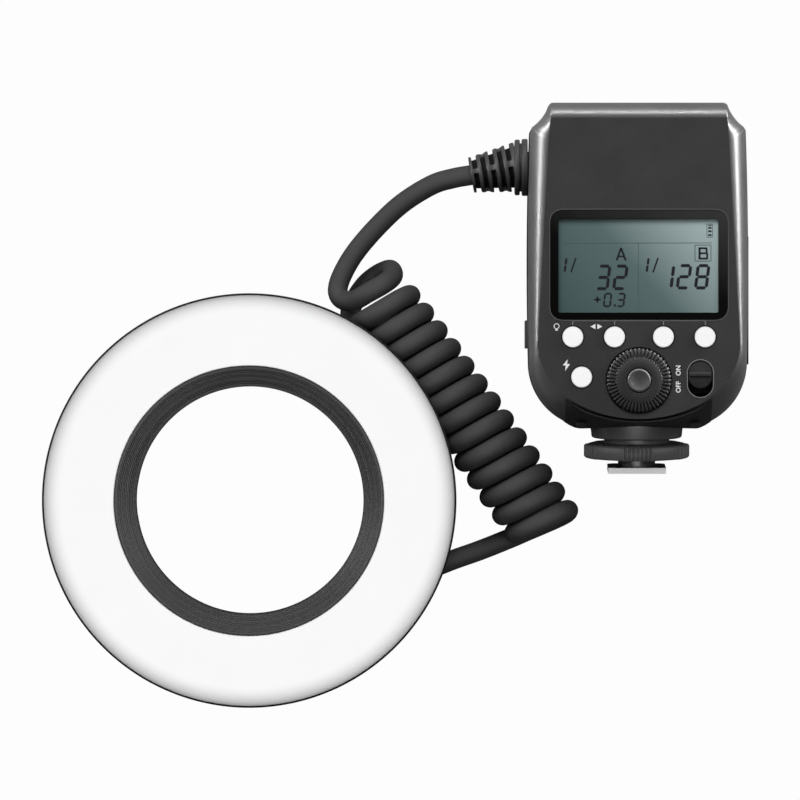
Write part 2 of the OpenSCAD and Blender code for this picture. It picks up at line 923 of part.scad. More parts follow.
function base_faces(rows, n) = let (
    m = rows * n,
    cells = [for (r = [0:rows - 2], k = [0:n - 2]) let (c = r * n + k) [c, c + 1, c + n + 1, c + n]],
    rim = concat(
        [for (k = [0:n - 2]) [k, k + 1]],
        [for (r = [0:rows - 2]) [r * n + n - 1, (r + 1) * n + n - 1]],
        [for (k = [n - 2:-1:0]) [(rows - 1) * n + k + 1, (rows - 1) * n + k]],
        [for (r = [rows - 2:-1:0]) [(r + 1) * n, r * n]]
    )
) concat(
    [for (c = cells) [m + c[0], m + c[1], m + c[2]]],
    [for (c = cells) [m + c[0], m + c[2], m + c[3]]],
    [for (c = cells) [c[2], c[1], c[0]]],
    [for (c = cells) [c[3], c[2], c[0]]],
    [for (e = rim) [e[0], e[1], m + e[1]]],
    [for (e = rim) [e[0], m + e[1], m + e[0]]]
);

module base_screw_places() {
    for (s = [-1, 1])
        translate(across(front_half(48), s * base_screw_u)) rotate([base_lean, 0, 0]) children();
}

module base_plate() {
    points = concat(base_grid(base_gap), base_grid(base_gap + base_t));
    color([0.12, 0.12, 0.12])
        difference() {
            at_unit()
                difference() {
                    polyhedron(points, base_faces(len(base_rows()), base_columns + 1));
                    base_screw_places() rod(screw_r + slip, -2, 4);
                }
            at_foot() rod(collar_d / 2 + slip, collar_top - 6, collar_low + 3);
        }
}

module base_screws() {
    seat = base_gap + base_t + 0.25;
    color("silver")
        at_unit()
            base_screw_places() {
                rod(screw_r, -3.5, seat + 0.1);
                translate([0, 0, seat]) cylinder(r1 = screw_head_r, r2 = screw_head_r - 0.4, h = 0.5);
            }
}

module foot_base() {
    color("gray")
        at_foot()
            difference() {
                bar([-17, -15, collar_top - foot_base_t], [17, 13, collar_top - run]);
                rod(stem_r + slip, collar_top - 5, collar_top + 1);
            }
}

module foot_nut() {
    low = collar_top - foot_base_t - run;
    color("silver")
        at_foot()
            difference() {
                translate([0, 0, low - nut_t]) cylinder(r = stem_r + 3.4, h = nut_t, $fn = 6);
                rod(stem_r + run, low - nut_t - 1, low + 1);
            }
}

module lock_collar() {
    color([0.17, 0.17, 0.17])
        at_foot()
            difference() {
                union() {
                    rod(collar_d / 2, collar_top, 0.2);
                    translate([0, 0, 0.1]) cylinder(d1 = collar_d, d2 = collar_d - 1, h = collar_low - 0.1);
                    rod(neck_d / 2, collar_low - 0.2, neck_low);
                }
                rod(stem_r + slip, collar_top - 1, neck_low + 1);
            }
}

// Outline of the lock wheel: groups of ribs with a smooth scallop between each two
function wheel_outline() = let (ribs = 2 * group_ribs) [
    for (g = [0:wheel_groups - 1], k = [0:ribs + scallop_steps - 1])
        let (
            past = (k - ribs + 0.5) / scallop_steps,
            turn = k < ribs ? group_share * (k + 0.5) / ribs : group_share + (1 - group_share) * past,
            dip = k < ribs ? rib_h * (k % 2) : rib_h + (scallop_h - rib_h) * sin(180 * past)
        ) on_circle([0, 0], wheel_d / 2 - dip, (g + turn - group_share / 2) * 360 / wheel_groups - 90)
];

module lock_wheel() {
    color([0.15, 0.15, 0.15])
        at_foot()
            difference() {
                translate([0, 0, wheel_top]) linear_extrude(wheel_t) polygon(wheel_outline());
                rod(sleeve_r + run, wheel_top - 1, wheel_low + 1);
                rod(washer_r + 0.2, wheel_low - washer_h, wheel_low + 1);
            }
}

module pressure_plate() {
    color("gray")
        at_foot() {
            pipe(sleeve_r, stem_r + slip, wheel_top + slip, wheel_low - washer_h + 0.2);
            pipe(washer_r, stem_r + slip, wheel_low - washer_h + slip, wheel_low + 0.2);
        }
}

module shoe_foot() {
    color("lightgray")
        at_foot()
            difference() {
                union() {
                    rod(stem_r, collar_top - foot_base_t - nut_t, shoe_top + 0.1);
                    translate([0, 0, shoe_top]) linear_extrude(shoe_t)
                        difference() {
                            square([shoe_w, shoe_l], center = true);
                            for (s = [-1, 1])
                                translate([s * shoe_w, -shoe_l] / 2) rotate(45) square(2.4, center = true);
                        }
                }
                translate([0, pin_y, 0]) rod(pin_r + run, collar_top - 20, shoe_top + shoe_t + 1);
                contact_places() rod(contact_r + slip, shoe_top + 0.2, shoe_top + shoe_t + 1);
            }
}

module locking_pin() {
    color("silver")
        at_foot()
            translate([0, pin_y, 0]) rod(pin_r, collar_top - 6, shoe_top + shoe_t - 0.2);
}

module contact_places() {
    for (p = contact_at) translate(p) children();
}

module shoe_contacts() {
    color("gold")
        at_foot()
            contact_places() rod(contact_r, shoe_top + 0.25, shoe_top + shoe_t + 0.2);
}

// Cord and its strain reliefs

module relief_place() {
    translate([-relief_face, relief_v, relief_z]) rotate([0, -90, 0]) children();
}

function relief_r_at(t) = relief_root_r + (relief_tip_r - relief_root_r) * t / relief_l;

module unit_cord_relief() {
    color([0.12, 0.12, 0.12])
        at_unit()
            relief_place() {
                rod(relief_neck_r, -cover_wall - 2.2, 0.2);
                rod(relief_neck_r + 1, -cover_wall - 2.2, -cover_wall - 1.2);
                rod(relief_r, 0, 1.9);
                rod(relief_r - 1.4, 1.8, 2.5);
                rod(relief_r - 0.2, 2.4, relief_flange + 0.1);
                translate([0, 0, relief_flange])
                    rotate([relief_droop, 0, 0])
                        difference() {
                            translate([0, 0, -1])
                                cylinder(r1 = relief_r_at(-1), r2 = relief_tip_r, h = relief_l + 1);
                            for (k = [0:relief_rows - 1], s = [0, 180])
                                rotate(s + 90 * (k % 2) + 90 - relief_slot_turn / 2)
                                    relief_slot(relief_row_from + relief_row_pitch * k);
                        }
            }
}

module relief_slot(t) {
    r = relief_r_at(t) - relief_slot_depth;
    rotate_extrude(angle = relief_slot_turn)
        translate([r, t]) square([relief_slot_depth + 1, relief_slot_w]);
}

// Middle line of the curls, slightly bent, and the direction across it
function coil_axis(n) = let (m = n - coil_turns) coil_last + m * coil_pitch * coil_way + m * m * coil_bend;

function coil_side(n) = let (run = coil_pitch * coil_way + 2 * (n - coil_turns) * coil_bend)
    [-run[1], run[0], 0] / norm(run);

// The last turn's lower strand is lifted, so that the lead passes under it
function curl_lift(n) = let (m = n - coil_turns + 1) m > 0 && m < 0.5 ? last_lift * sin(360 * m) : 0;

function curl_point(n) =
    coil_axis(n) + coil_r * cos(360 * n) * coil_side(n) + [0, 0, curl_lift(n) - coil_r * sin(360 * n)];

function curl_path() = [for (k = [curl_rings / 2:curl_rings * coil_turns]) curl_point(k / curl_rings)];

function cord_path() = concat(upper_route, loop_in, curl_path(), loop_out, lower_route);

curl_first = len(upper_route) - 1;
curl_last = curl_first + len(loop_in) + len(curl_path()) + len(loop_out);

function unit_of(v) = v / norm(v);

function tangent(path, i) = unit_of(path[min(i + 1, len(path) - 1)] - path[max(i - 1, 0)]);

// A side direction for each ring, carried along so that the tube does not twist
function carried(u, t) = unit_of(u - (u * t) * t);

function side_ways(path) = [
    for (
        i = 0, u = carried([0, 0, 1], tangent(path, 0));
        i < len(path);
        i = i + 1, u = carried(u, tangent(path, min(i, len(path) - 1)))
    ) u
];

function ring_at(p, u, t, sides) = [
    for (k = [0:sides - 1]) p + cord_d / 2 * (cos(360 * k / sides) * u + sin(360 * k / sides) * cross(t, u))
];

function hose_faces(rings, n) = concat(
    [for (k = [0:rings - 2], i = [0:n - 1]) [k * n + i, (k + 1) * n + (i + 1) % n, k * n + (i + 1) % n]],
    [for (k = [0:rings - 2], i = [0:n - 1]) [k * n + i, (k + 1) * n + i, (k + 1) * n + (i + 1) % n]],
    [[for (i = [0:n - 1]) i]],
    [[for (i = [n - 1:-1:0]) (rings - 1) * n + i]]
);

module hose(from, to, sides) {
    path = cord_path();
    ways = side_ways(path);
    rings = [for (i = [from:to]) ring_at(path[i], ways[i], tangent(path, i), sides)];
    polyhedron([for (ring = rings, p = ring) p], hose_faces(len(rings), sides));
}

function least_gap(path, apart) = min([
    for (i = [0:len(path) - 1], j = [i + apart:1:len(path) - 1]) norm(path[i] - path[j])
]) - cord_d;

module cord_upper_lead() {
    color([0.1, 0.1, 0.1]) hose(0, curl_first, lead_sides);
}

module cord_curl() {
    echo(least_gap_between_curls = least_gap(curl_path(), 5));
    color([0.1, 0.1, 0.1]) hose(curl_first, curl_last, curl_sides);
}

module cord_lower_lead() {
    color([0.1, 0.1, 0.1]) hose(curl_last, len(cord_path()) - 1, lead_sides);
}

module ring_cord_relief() {
    color([0.12, 0.12, 0.12])
        difference() {
            translate(boot_tip) rotate([0, 0, boot_turn]) rotate([0, -90, 0]) {
                translate([0, 0, run]) cylinder(r1 = cord_d / 2 + 1, r2 = boot_r, h = boot_l - run);
                rod(boot_r, boot_l - 0.1, 2 * boot_l);
            }
            rod(housing_r + slip, -1, ring_t);
        }
}

// Ring head

module ring_housing() {
    in = housing_r - housing_wall;
    lip = ring_r - rim_lip;
    color([0.14, 0.14, 0.14])
        difference() {
            union() {
                rotate_extrude()
                    polygon([
                        [sleeve_out + slip, 0], [housing_r - 1.2, 0], [housing_r, 1.2],
                        [housing_r, flare_low],
                        [ring_r, rim_low], [ring_r, rim_top], [lip, rim_top], [lip, ledge_z],
                        [lip - 1.65, ledge_z], [lip - 1.65, rim_low + 0.6], [in, flare_low + 1], [in, rear_t],
                        [sleeve_out + slip, rear_t]
                    ]);
                ring_posts() rod(post_r, rear_t - 0.2, board_low - run);
                pipe(latch_out - 0.4, latch_in, rear_t - 0.2, latch_low[0] - 0.2);
            }
            ring_posts() {
                rod(screw_r + slip, -1, board_low + 1);
                rod(screw_head_r + gap, -1, 1.3);
            }
            for (s = [-1, 1])
                translate([s * housing_r, 0, 0])
                    bar([-4, -pad_w / 2 - gap, latch_low[0] - gap], [4, pad_w / 2 + gap, pad_high + gap]);
        }
}

module ring_posts() {
    for (k = [0:3]) rotate(45 + 90 * k) translate([post_at, 0, 0]) children();
}

module baffle_ring() {
    step = [(baffle_r - 0.45 - hole_r) / baffle_ridges, (ring_t - cone_low) / baffle_ridges];
    ridges = [
        for (k = [baffle_ridges - 1:-1:0], s = [1, 0])
            [hole_r + step[0] * k, cone_low + step[1] * (k + s)]
    ];
    color([0.1, 0.1, 0.1])
        difference() {
            rotate_extrude()
                polygon(concat(
                    [[seat_r, 0], [sleeve_out, 0], [sleeve_out, flare_low + 2.5]],
                    [[baffle_r, flare_low + 4.5], [baffle_r, ring_t]],
                    ridges,
                    [[hole_r, seat_depth], [seat_r, seat_depth]]
                ));
            claw_cut(latch_low[0], 180);
            claw_cut(latch_low[1], 0);
        }
}

module claw_cut(low, turn) {
    rotate(turn)
        bar([hole_r - 2, -claw_w / 2 - 0.4, low - gap], [baffle_r, claw_w / 2 + 0.4, low + latch_t + gap]);
}

module diffuser_shape(inset) {
    top = ring_t - 0.2 - inset;
    out = ring_r - rim_lip - slip - inset;
    r = diffuser_round - inset;
    translate([baffle_r + slip, 0]) square([out - r - baffle_r - slip, top]);
    translate([baffle_r + slip, 0]) square([out - baffle_r - slip, top - r]);
    translate([out - r, top - r]) circle(r = r);
}

module diffuser() {
    color([0.95, 0.95, 0.95])
        rotate_extrude()
            difference() {
                diffuser_shape(0);
                diffuser_shape(diffuser_wall);
                square([ring_r + 1, ledge_z + run]);
            }
}

module reflector() {
    in = baffle_r + 3.2;
    out = housing_r - housing_wall - 1.2;
    brim = ring_r - rim_lip - 3.4;
    color("silver") {
        difference() {
            rotate_extrude()
                polygon([
                    [in, tray_low], [out, tray_low], [out, flare_low + 1.1], [brim, ledge_z - 0.6],
                    [brim - 0.6, ledge_z - 0.1], [out - tray_t, flare_low + 1.5],
                    [out - tray_t, tray_low + tray_t], [in + tray_t, tray_low + tray_t],
                    [in + tray_t - 1.4, ring_t - 6], [in - 1.4, ring_t - 6]
                ]);
            for (s = [0, 180]) tube_ends(s) rod(lead_r + 0.4, 0, tube_z);
        }
        for (k = [0:2])
            rotate(90 + 120 * k)
                translate([lamp_at, 0, 0]) rod(2, board_low + board_t + run, tray_low + 0.2);
    }
}

module tube_ends(turn) {
    for (s = [-1, 1]) rotate(turn + s * tube_sweep / 2) translate([tube_ring, 0, 0]) children();
}

module flash_tube(turn) {
    color([0.8, 0.85, 0.9]) {
        rotate(turn - tube_sweep / 2)
            translate([0, 0, tube_z])
                rotate_extrude(angle = tube_sweep) translate([tube_ring, 0]) circle(r = tube_r);
        tube_ends(turn) rod(lead_r, board_low + board_t + run, tube_z);
    }
}

module flash_tube_left() {
    flash_tube(180);
}

module flash_tube_right() {
    flash_tube(0);
}

module lamp_leds() {
    low = tray_low + tray_t;
    color("lightyellow")
        for (k = [0:3]) rotate(90 * k) translate([lamp_at, 0, 0]) bar([-1.5, -1.5, low], [1.5, 1.5, low + 1]);
}

module ring_board() {
    color("darkgreen")
        difference() {
            pipe(housing_r - housing_wall - 0.5, sleeve_out + 2.5, board_low, board_low + board_t);
            ring_posts() rod(screw_r + slip, 0, ring_t);
        }
}

module ring_screws() {
    color("silver")
        ring_posts() {
            rod(screw_head_r, 0.1, 1.3 - run);
            rod(screw_r, 1.2, board_low + board_t + 0.6);
        }
}

module latch(turn, low) {
    color([0.16, 0.16, 0.16])
        rotate(turn) {
            translate([0, 0, low]) rotate_extrude(angle = 180)
                translate([latch_in, 0]) square([latch_out - latch_in, latch_t]);
            bar([latch_in + 0.5, -4, low], [pad_in + 1, 4, low + latch_t]);
            bar([pad_in, -pad_w / 2, latch_low[0]], [housing_r + 2, pad_w / 2, pad_high]);
            bar([-latch_out + 0.5, -claw_w / 2, low], [-latch_reach, claw_w / 2, low + latch_t]);
        }
}

module latch_right() {
    latch(0, latch_low[0]);
}

module latch_left() {
    latch(180, latch_low[1]);
}

front_cover();
rear_cover();
display_window();
lcd_panel();
backlight_frame();
lamp_button();
mode_button();
function_button();
ratio_button();
test_button();
select_dial();
set_button();
power_switch();
switch_body();
dial_encoder();
key_mat();
main_board();
board_screws();
cover_screws();
flash_capacitor();
battery_box();
battery_cells();
battery_contacts();
battery_door();
socket_block();
socket_cover();
base_plate();
base_screws();
foot_base();
foot_nut();
lock_collar();
lock_wheel();
pressure_plate();
shoe_foot();
locking_pin();
shoe_contacts();
unit_cord_relief();
cord_upper_lead();
cord_curl();
cord_lower_lead();
ring_cord_relief();
ring_housing();
diffuser();
baffle_ring();
reflector();
flash_tube_left();
flash_tube_right();
lamp_leds();
ring_board();
ring_screws();
latch_right();
latch_left();
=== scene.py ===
"""Macro ring flash laid flat: the dressed look of a ring head, its control unit and the curly cord between them.

All shapes are worked out in millimetres in the frame of the solids and put into meshes in metres.
"""

import math

import bmesh
import bpy
import numpy as np
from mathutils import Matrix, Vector


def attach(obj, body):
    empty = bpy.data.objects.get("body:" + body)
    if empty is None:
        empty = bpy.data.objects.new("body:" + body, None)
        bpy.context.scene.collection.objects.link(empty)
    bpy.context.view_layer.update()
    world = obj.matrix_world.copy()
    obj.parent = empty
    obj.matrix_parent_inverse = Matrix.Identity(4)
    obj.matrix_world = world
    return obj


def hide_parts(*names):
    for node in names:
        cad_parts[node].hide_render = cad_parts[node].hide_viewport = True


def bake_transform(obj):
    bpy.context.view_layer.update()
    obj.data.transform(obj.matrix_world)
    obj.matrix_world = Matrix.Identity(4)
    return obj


bl_info = {
    "name": "Macro ring flash",
    "version": (1, 0, 0),
    "blender": (4, 5, 0),
    "location": "View3D > Sidebar > Ring flash",
    "description": "Dresses the solids of a macro ring flash with its finished surfaces",
    "category": "Object",
}

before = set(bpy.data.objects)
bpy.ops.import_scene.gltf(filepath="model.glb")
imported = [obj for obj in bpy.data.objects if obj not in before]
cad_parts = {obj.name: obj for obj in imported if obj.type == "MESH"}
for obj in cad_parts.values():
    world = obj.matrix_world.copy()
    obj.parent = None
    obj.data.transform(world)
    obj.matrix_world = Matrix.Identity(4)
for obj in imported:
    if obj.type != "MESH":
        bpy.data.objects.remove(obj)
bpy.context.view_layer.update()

MM = 0.001
UNIT = np.array([124.8, 23.3, 0.0])
FOOT = UNIT + [0.0, 1.6, 24.0]
FOOT_LEAN = math.radians(94.5)
NECK_END = 14.0  # along the foot, where its neck, painted dark as shade under the wheel, meets the bright plate
FOOT_BORE = (15.1, -11, 8, 96)  # radius, ends and sides of the hole in the housing that the collar sits in
# Groups of pieces that a lamp is for, by their finishes; the last one names those that its lamps leave out
LIT = {
    "rim_lit": ("panel", "control", "set"),
    "front_lit": ("baffle", "cord", "shoe", "collar", "wheel"),
    "pale_lit": ("diffuser", "button"),
    "not_pale": ("diffuser", "button"),
}
COIL_WAY = np.array([0.5644, -0.8255, 0.0])
COIL_BEND = np.array([-0.0172, -0.0089, 0.0])
COIL_LAST = np.array([95.17, -8.37, 12.5])
COIL_TURNS = 13
UP = np.array([0.0, 0.0, 1.0])
CORD_SIDES = 24
CORD_STEP = 0.8
CORD_UV = 40  # turns of the cord's UV map to the metre
BOOT_AT = (60.8, -21.4, 6.0)  # where the cord ends in the ring head's boot
CAMERA_AT = (0.04856, 0.03237)

# Levels of the control unit, from the table up
PANEL_TOP = 54.0
PANEL_IN = 51.8
PART_Z = 40.0
ROLL_DEPTH = 12.0
HALF_W = 35.25
UNIT_H = 104.3
LOW_POINTS = 54  # points of the lower round in each half outline
CUT = (50.0, 60.0)  # levels between which the panel's openings are cut
FLAT = 0.995  # upward part of a face's normal, above which the face counts as flat
BASE_SLOPE = math.radians(64)
BASE_OUT = np.array([0.0, -math.sin(BASE_SLOPE), math.cos(BASE_SLOPE)])

BUTTONS = {
    "lamp_button": (-21.1, 29.2),
    "mode_button": (-7.8, 29.2),
    "function_button": (7.8, 29.2),
    "ratio_button": (21.1, 29.2),
    "test_button": (-18.3, 16.4),
}
DIAL_AT = (0.0, 15.3)
SWITCH_AT = (19.6, 15.9)
WINDOW_AT = (0.0, 52.2)

# The unit's strain relief: its sleeve leans down a little from the unit's side
RELIEF_ROOT = UNIT + [-35.1, 84.1, 20.0]
RELIEF_LEAN = math.radians(10.0)
RELIEF_WAY = np.array([-math.cos(RELIEF_LEAN), -math.sin(RELIEF_LEAN), 0.0])
RELIEF_TIP = RELIEF_ROOT + [-4.2, 0.0, 0.0] + 14.25 * RELIEF_WAY


def grey(level, tint=(0.0, 0.0, 0.0)):
    """A colour written as an 8-bit screen grey with small offsets, as linear red, green and blue."""
    screen = (level + np.array(tint, float)) / 255.0
    linear = np.where(screen <= 0.04045, screen / 12.92, ((screen + 0.055) / 1.055) ** 2.4)
    return tuple(float(x) for x in linear)


# Properties


def length(name, text, default):
    """A size in metres that the sidebar shows with its unit."""
    return bpy.props.FloatProperty(
        name=name, description=text, default=default, min=0.0, unit="LENGTH", subtype="DISTANCE", precision=5
    )


def colour(name, text, default):
    """A linear colour with a picker."""
    return bpy.props.FloatVectorProperty(
        name=name, description=text, default=default, size=3, min=0.0, max=1.0, subtype="COLOR"
    )


class RingFlashSizes(bpy.types.PropertyGroup):
    """Sizes that a user would change."""

    cord_diameter: length("Cord", "Diameter of the cord", 0.0065)
    curl_radius: length("Curl radius", "Radius of the curls at the middle of the cord", 0.00925)
    curl_pitch: length("Curl pitch", "Distance from curl to curl", 0.00709)
    edge: length("Edge round", "Round on the edges of the openings in the panel", 0.00018)
    print_height: length("Print height", "Thickness of printed marks", 0.00003)


class RingFlashColours(bpy.types.PropertyGroup):
    """Colours that a user would change."""

    panel: colour("Panel", "Grained plastic of the control panel", grey(38))
    body: colour("Body", "Plastic of the rear cover and the ring's housing", grey(33))
    control: colour("Controls", "Plastic of the dial and the switch", grey(40))
    button: colour("Buttons", "White plastic of the push buttons", grey(246, (0, 0, 1)))
    rubber: colour("Rubber", "Rubber of the cord and its reliefs", grey(52, (0, 0, 1)))
    diffuser: colour("Diffuser", "Opal plastic of the diffuser", grey(250, (0, 0, 1)))
    baffle: colour("Baffle", "Plastic of the ridged baffle", grey(46))
    ink: colour("Print", "White ink of the marks on the panel", grey(232))


class RingFlashStage(bpy.types.PropertyGroup):
    """Camera and light."""

    camera_height: length("Camera height", "Height of the camera over the table", 3.0)
    camera_lens: bpy.props.FloatProperty(
        name="Lens", description="Focal length of the camera", default=415.6, min=1.0, unit="CAMERA"
    )
    lamp_level: bpy.props.FloatProperty(
        name="Lamps", description="Strength of all lamps together", default=1.0, min=0.0, subtype="FACTOR"
    )


def settings():
    """The scene's three groups of settings."""
    scene = bpy.context.scene
    return scene.ring_flash_sizes, scene.ring_flash_colours, scene.ring_flash_stage


# Shapes


def cols(*values):
    """Values side by side along a last axis, each spread over the shape that they share."""
    return np.stack(np.broadcast_arrays(*values), axis=-1)


def polar(r, turn, *more):
    """Points at a radius and an angle in radians, with any further coordinates."""
    return cols(r * np.cos(turn), r * np.sin(turn), *more)


def grid_faces(rows, columns, wrap_rows=False, wrap_cols=False):
    """Quads between neighbouring lines of a grid of points; a wrapped side joins its last line to its first."""
    index = np.arange(rows * columns).reshape(rows, columns)
    if wrap_rows:
        index = np.vstack([index, index[:1]])
    if wrap_cols:
        index = np.hstack([index, index[:, :1]])
    return cols(index[:-1, :-1], index[:-1, 1:], index[1:, 1:], index[1:, :-1]).reshape(-1, 4)


def sheet(points, wrap_rows=False, wrap_cols=False, caps=False):
    """A grid of points as a shape; with caps its first and last rows are filled."""
    points = np.asarray(points, float)
    rows, columns = points.shape[:2]
    faces = grid_faces(rows, columns, wrap_rows, wrap_cols).tolist()
    if caps:
        faces += [list(range(columns - 1, -1, -1)), list(range((rows - 1) * columns, rows * columns))]
    return points.reshape(-1, 3), faces


def tube(rows):
    """Closed lines as a shape whose last line meets its first."""
    return sheet(np.stack(rows), wrap_rows=True, wrap_cols=True)


def filled(rows):
    """Closed lines as a shape that is filled at its first and last line."""
    return sheet(np.stack(rows), wrap_cols=True, caps=True)


def joined(*shapes):
    """Several shapes as one."""
    points, faces, count = [], [], 0
    for some_points, some_faces in shapes:
        points.append(some_points)
        faces += [[i + count for i in face] for face in some_faces]
        count += len(some_points)
    return np.vstack(points), faces


def placed(shape, at=(0.0, 0.0, 0.0), axes=np.eye(3)):
    """A shape moved so that its own x, y and z run along the given axes, from the given place."""
    points, faces = shape
    return points @ np.asarray(axes, float) + np.asarray(at, float), faces


def axes_along(way, side):
    """Axes whose z is the given way and whose x is as near as can be to the given side."""
    z = np.asarray(way, float) / np.linalg.norm(way)
    x = np.asarray(side, float) - np.dot(side, z) * z
    x = x / np.linalg.norm(x)
    return np.stack([x, np.cross(z, x), z])


FOOT_AXES = np.array([
    [1.0, 0.0, 0.0],
    [0.0, math.cos(FOOT_LEAN), math.sin(FOOT_LEAN)],
    [0.0, -math.sin(FOOT_LEAN), math.cos(FOOT_LEAN)],
])


def rounded(corners, reach, steps=4):
    """A closed line with its corners rounded.

    The line leaves each corner's neighbours at A and B, the reach before the corner C, and follows
    (1-t)^2 A + 2t(1-t) C + t^2 B between them.
    """
    c = np.asarray(corners, float)
    d = np.broadcast_to(np.asarray(reach, float), len(c))[:, None]
    back, ahead = np.roll(c, 1, 0) - c, np.roll(c, -1, 0) - c
    a = c + back / np.linalg.norm(back, axis=1, keepdims=True) * d
    b = c + ahead / np.linalg.norm(ahead, axis=1, keepdims=True) * d
    t = np.linspace(0.0, 1.0, steps + 1)[None, :, None]
    curve = (1 - t) ** 2 * a[:, None] + 2 * t * (1 - t) * c[:, None] + t * t * b[:, None]
    return curve.reshape(-1, c.shape[1])


def turned(profile, turns=160):
    """A closed profile of radius and height carried round the z axis: (r cos t, r sin t, h)."""
    profile = np.asarray(profile, float)
    t = np.linspace(0.0, 2 * np.pi, turns, endpoint=False)
    r, h = profile[:, 0, None], profile[:, 1, None]
    return tube(polar(r, t, h))


def level(outline, z):
    """A flat outline at a height."""
    return np.concatenate([outline, np.full((len(outline), 1), float(z))], axis=-1)


def column(outline, low, high):
    """A flat outline carried straight up from one level to another, filled at both ends."""
    outline = np.asarray(outline, float)
    return filled([level(outline, low), level(outline, high)])


def circle(at, r, turns=64):
    """Points of a circle."""
    t = np.linspace(0.0, 2 * np.pi, turns, endpoint=False)
    return polar(r, t) + np.asarray(at)


def rounded_box(at, w, h, r, steps=8):
    """Outline of a rectangle with round corners."""
    x, y = w / 2, h / 2
    return rounded([[x, y], [-x, y], [-x, -y], [x, -y]], r * 1.1, steps) + np.asarray(at)


def stadium(at, w, l, steps=16):
    """Outline of an upright slot with round ends."""
    end = polar(w / 2, np.radians(np.linspace(0.0, 180.0, steps + 1)))
    lift = np.array([0.0, (l - w) / 2])
    return np.vstack([end + lift, -end - lift]) + np.asarray(at)


def block(low, high):
    """A box between two corners."""
    (x0, y0, z0), (x1, y1, z1) = low, high
    return column([[x0, y0], [x1, y0], [x1, y1], [x0, y1]], z0, z1)


def rod(r, low, high, turns=64):
    """A plain round bar along z, used to cut holes."""
    return column(circle((0.0, 0.0), r, turns), low, high)


# Outlines of the control unit


def arc(centre, r, start, end, count):
    """Points of an arc from one angle to another, in degrees."""
    return polar(r, np.radians(np.linspace(start, end, count))) + np.asarray(centre)


def side_u(v):
    """Half width of the silhouette at a height: a slow parabola."""
    return HALF_W - 0.75 * ((v - UNIT_H / 2) / (UNIT_H / 2 - 9)) ** 2


def half_outlines():
    """Right halves of the silhouette and the panel, point for point, and how sharply the edge breaks between them.

    Both run from the top middle down the shoulder, the side and the lower round to the bottom middle.
    """
    low_r, low_turn, shoulder_v, panel_v = 21.2, -75, 95.1, 99.2
    corner = np.array([side_u(low_r) - low_r, low_r])
    side = np.linspace(shoulder_v, low_r, 30)[1:]
    low_end = corner + polar(low_r, math.radians(low_turn))
    share = np.linspace(0.0, 1.0, 15)[1:, None]
    silhouette = np.vstack([
        cols(np.linspace(0.0, 27.2, 8), UNIT_H),
        arc((27.2, 102.7), 1.6, 90, 27, 9)[1:],
        arc((42.75, 108.7), 15.1, 202, 234, 14),
        arc((33.2, shoulder_v), 1.3, 50, 0, 9),
        cols(side_u(side), side),
        arc(corner, low_r, 0, low_turn, 41)[1:],
        low_end + (np.array([0.0, 1.6]) - low_end) * share,
    ])

    def panel_u(v):
        """Half width of the panel at a height: a straight flare."""
        return 28.3 + 4.0 * (panel_v - v) / 72.2

    shoulder = np.concatenate([np.linspace(98.2, 93.4, 14), np.linspace(92.2, 91.0, 9)])
    flank = np.interp(side, np.linspace(low_r, shoulder_v, 7), [27.0, 33.52, 45.83, 58.15, 70.47, 82.78, 91.0])
    low = np.radians(np.concatenate([np.linspace(0, -56, 41)[1:], np.linspace(-56, -90, 15)[1:]]))
    panel = np.vstack([
        cols(np.linspace(0.0, 27.7, 8), panel_v),
        arc((27.7, 98.6), 0.6, 90, 27, 9)[1:],
        cols(panel_u(shoulder), shoulder),
        cols(panel_u(flank), flank),
        cols(32.3 * np.cos(low), 27 + 24 * np.sin(low)),
    ])
    sharp = np.full(len(panel), 0.06)
    sharp[-LOW_POINTS:] = 0.06 + 0.84 * np.minimum(1.0, np.arange(1, LOW_POINTS + 1) / 40)
    return silhouette, panel, sharp


def whole(half):
    """A right half with its mirror image, as one closed line."""
    mirror = half[-2:0:-1].copy()
    if mirror.ndim == 2:
        mirror[:, 0] *= -1
    return np.concatenate([half, mirror])


def inset(outline, depth):
    """A closed line moved inwards across its own run."""
    run = np.roll(outline, -1, 0) - np.roll(outline, 1, 0)
    run = run / np.maximum(np.linalg.norm(run, axis=1, keepdims=True), 1e-9)
    return outline + depth * cols(run[:, 1], -run[:, 0])


def panel_roll(turn, lines):
    """Half ring of the panel's rolled edge, from the panel at 0 to the silhouette at a quarter turn.

    The place is P + (S - P) sin t, and the drop is the roll's depth times (1 - c)(1 - cos t) + c sin t.
    """
    silhouette, panel, sharp = lines
    drop = (1 - sharp) * (1 - math.cos(turn)) + sharp * math.sin(turn)
    at = panel + (silhouette - panel) * math.sin(turn)
    return np.concatenate([at, (PANEL_TOP - ROLL_DEPTH * drop)[:, None]], axis=-1)


# Cord


def curls():
    """Points of the curls: with m turns to go, the axis is L + m p w + m^2 b, and a point lies (cos, -sin) across it.

    The last turn's lower strand is lifted by a half wave, so that the lead passes under it.
    """
    sizes = settings()[0]
    n = (np.arange(4, 8 * COIL_TURNS + 1) / 8.0)[:, None]
    m = n - COIL_TURNS
    step = sizes.curl_pitch / MM * COIL_WAY
    run = step + 2 * m * COIL_BEND
    side = cols(-run[:, 1], run[:, 0], 0.0) / np.linalg.norm(run, axis=1, keepdims=True)
    lift = np.where((m > -1) & (m < -0.5), 6.4 * np.sin(2 * np.pi * (m + 1)), 0.0)
    across = np.cos(2 * np.pi * n) * side - np.sin(2 * np.pi * n) * UP
    return COIL_LAST + m * step + m * m * COIL_BEND + sizes.curl_radius / MM * across + lift * UP


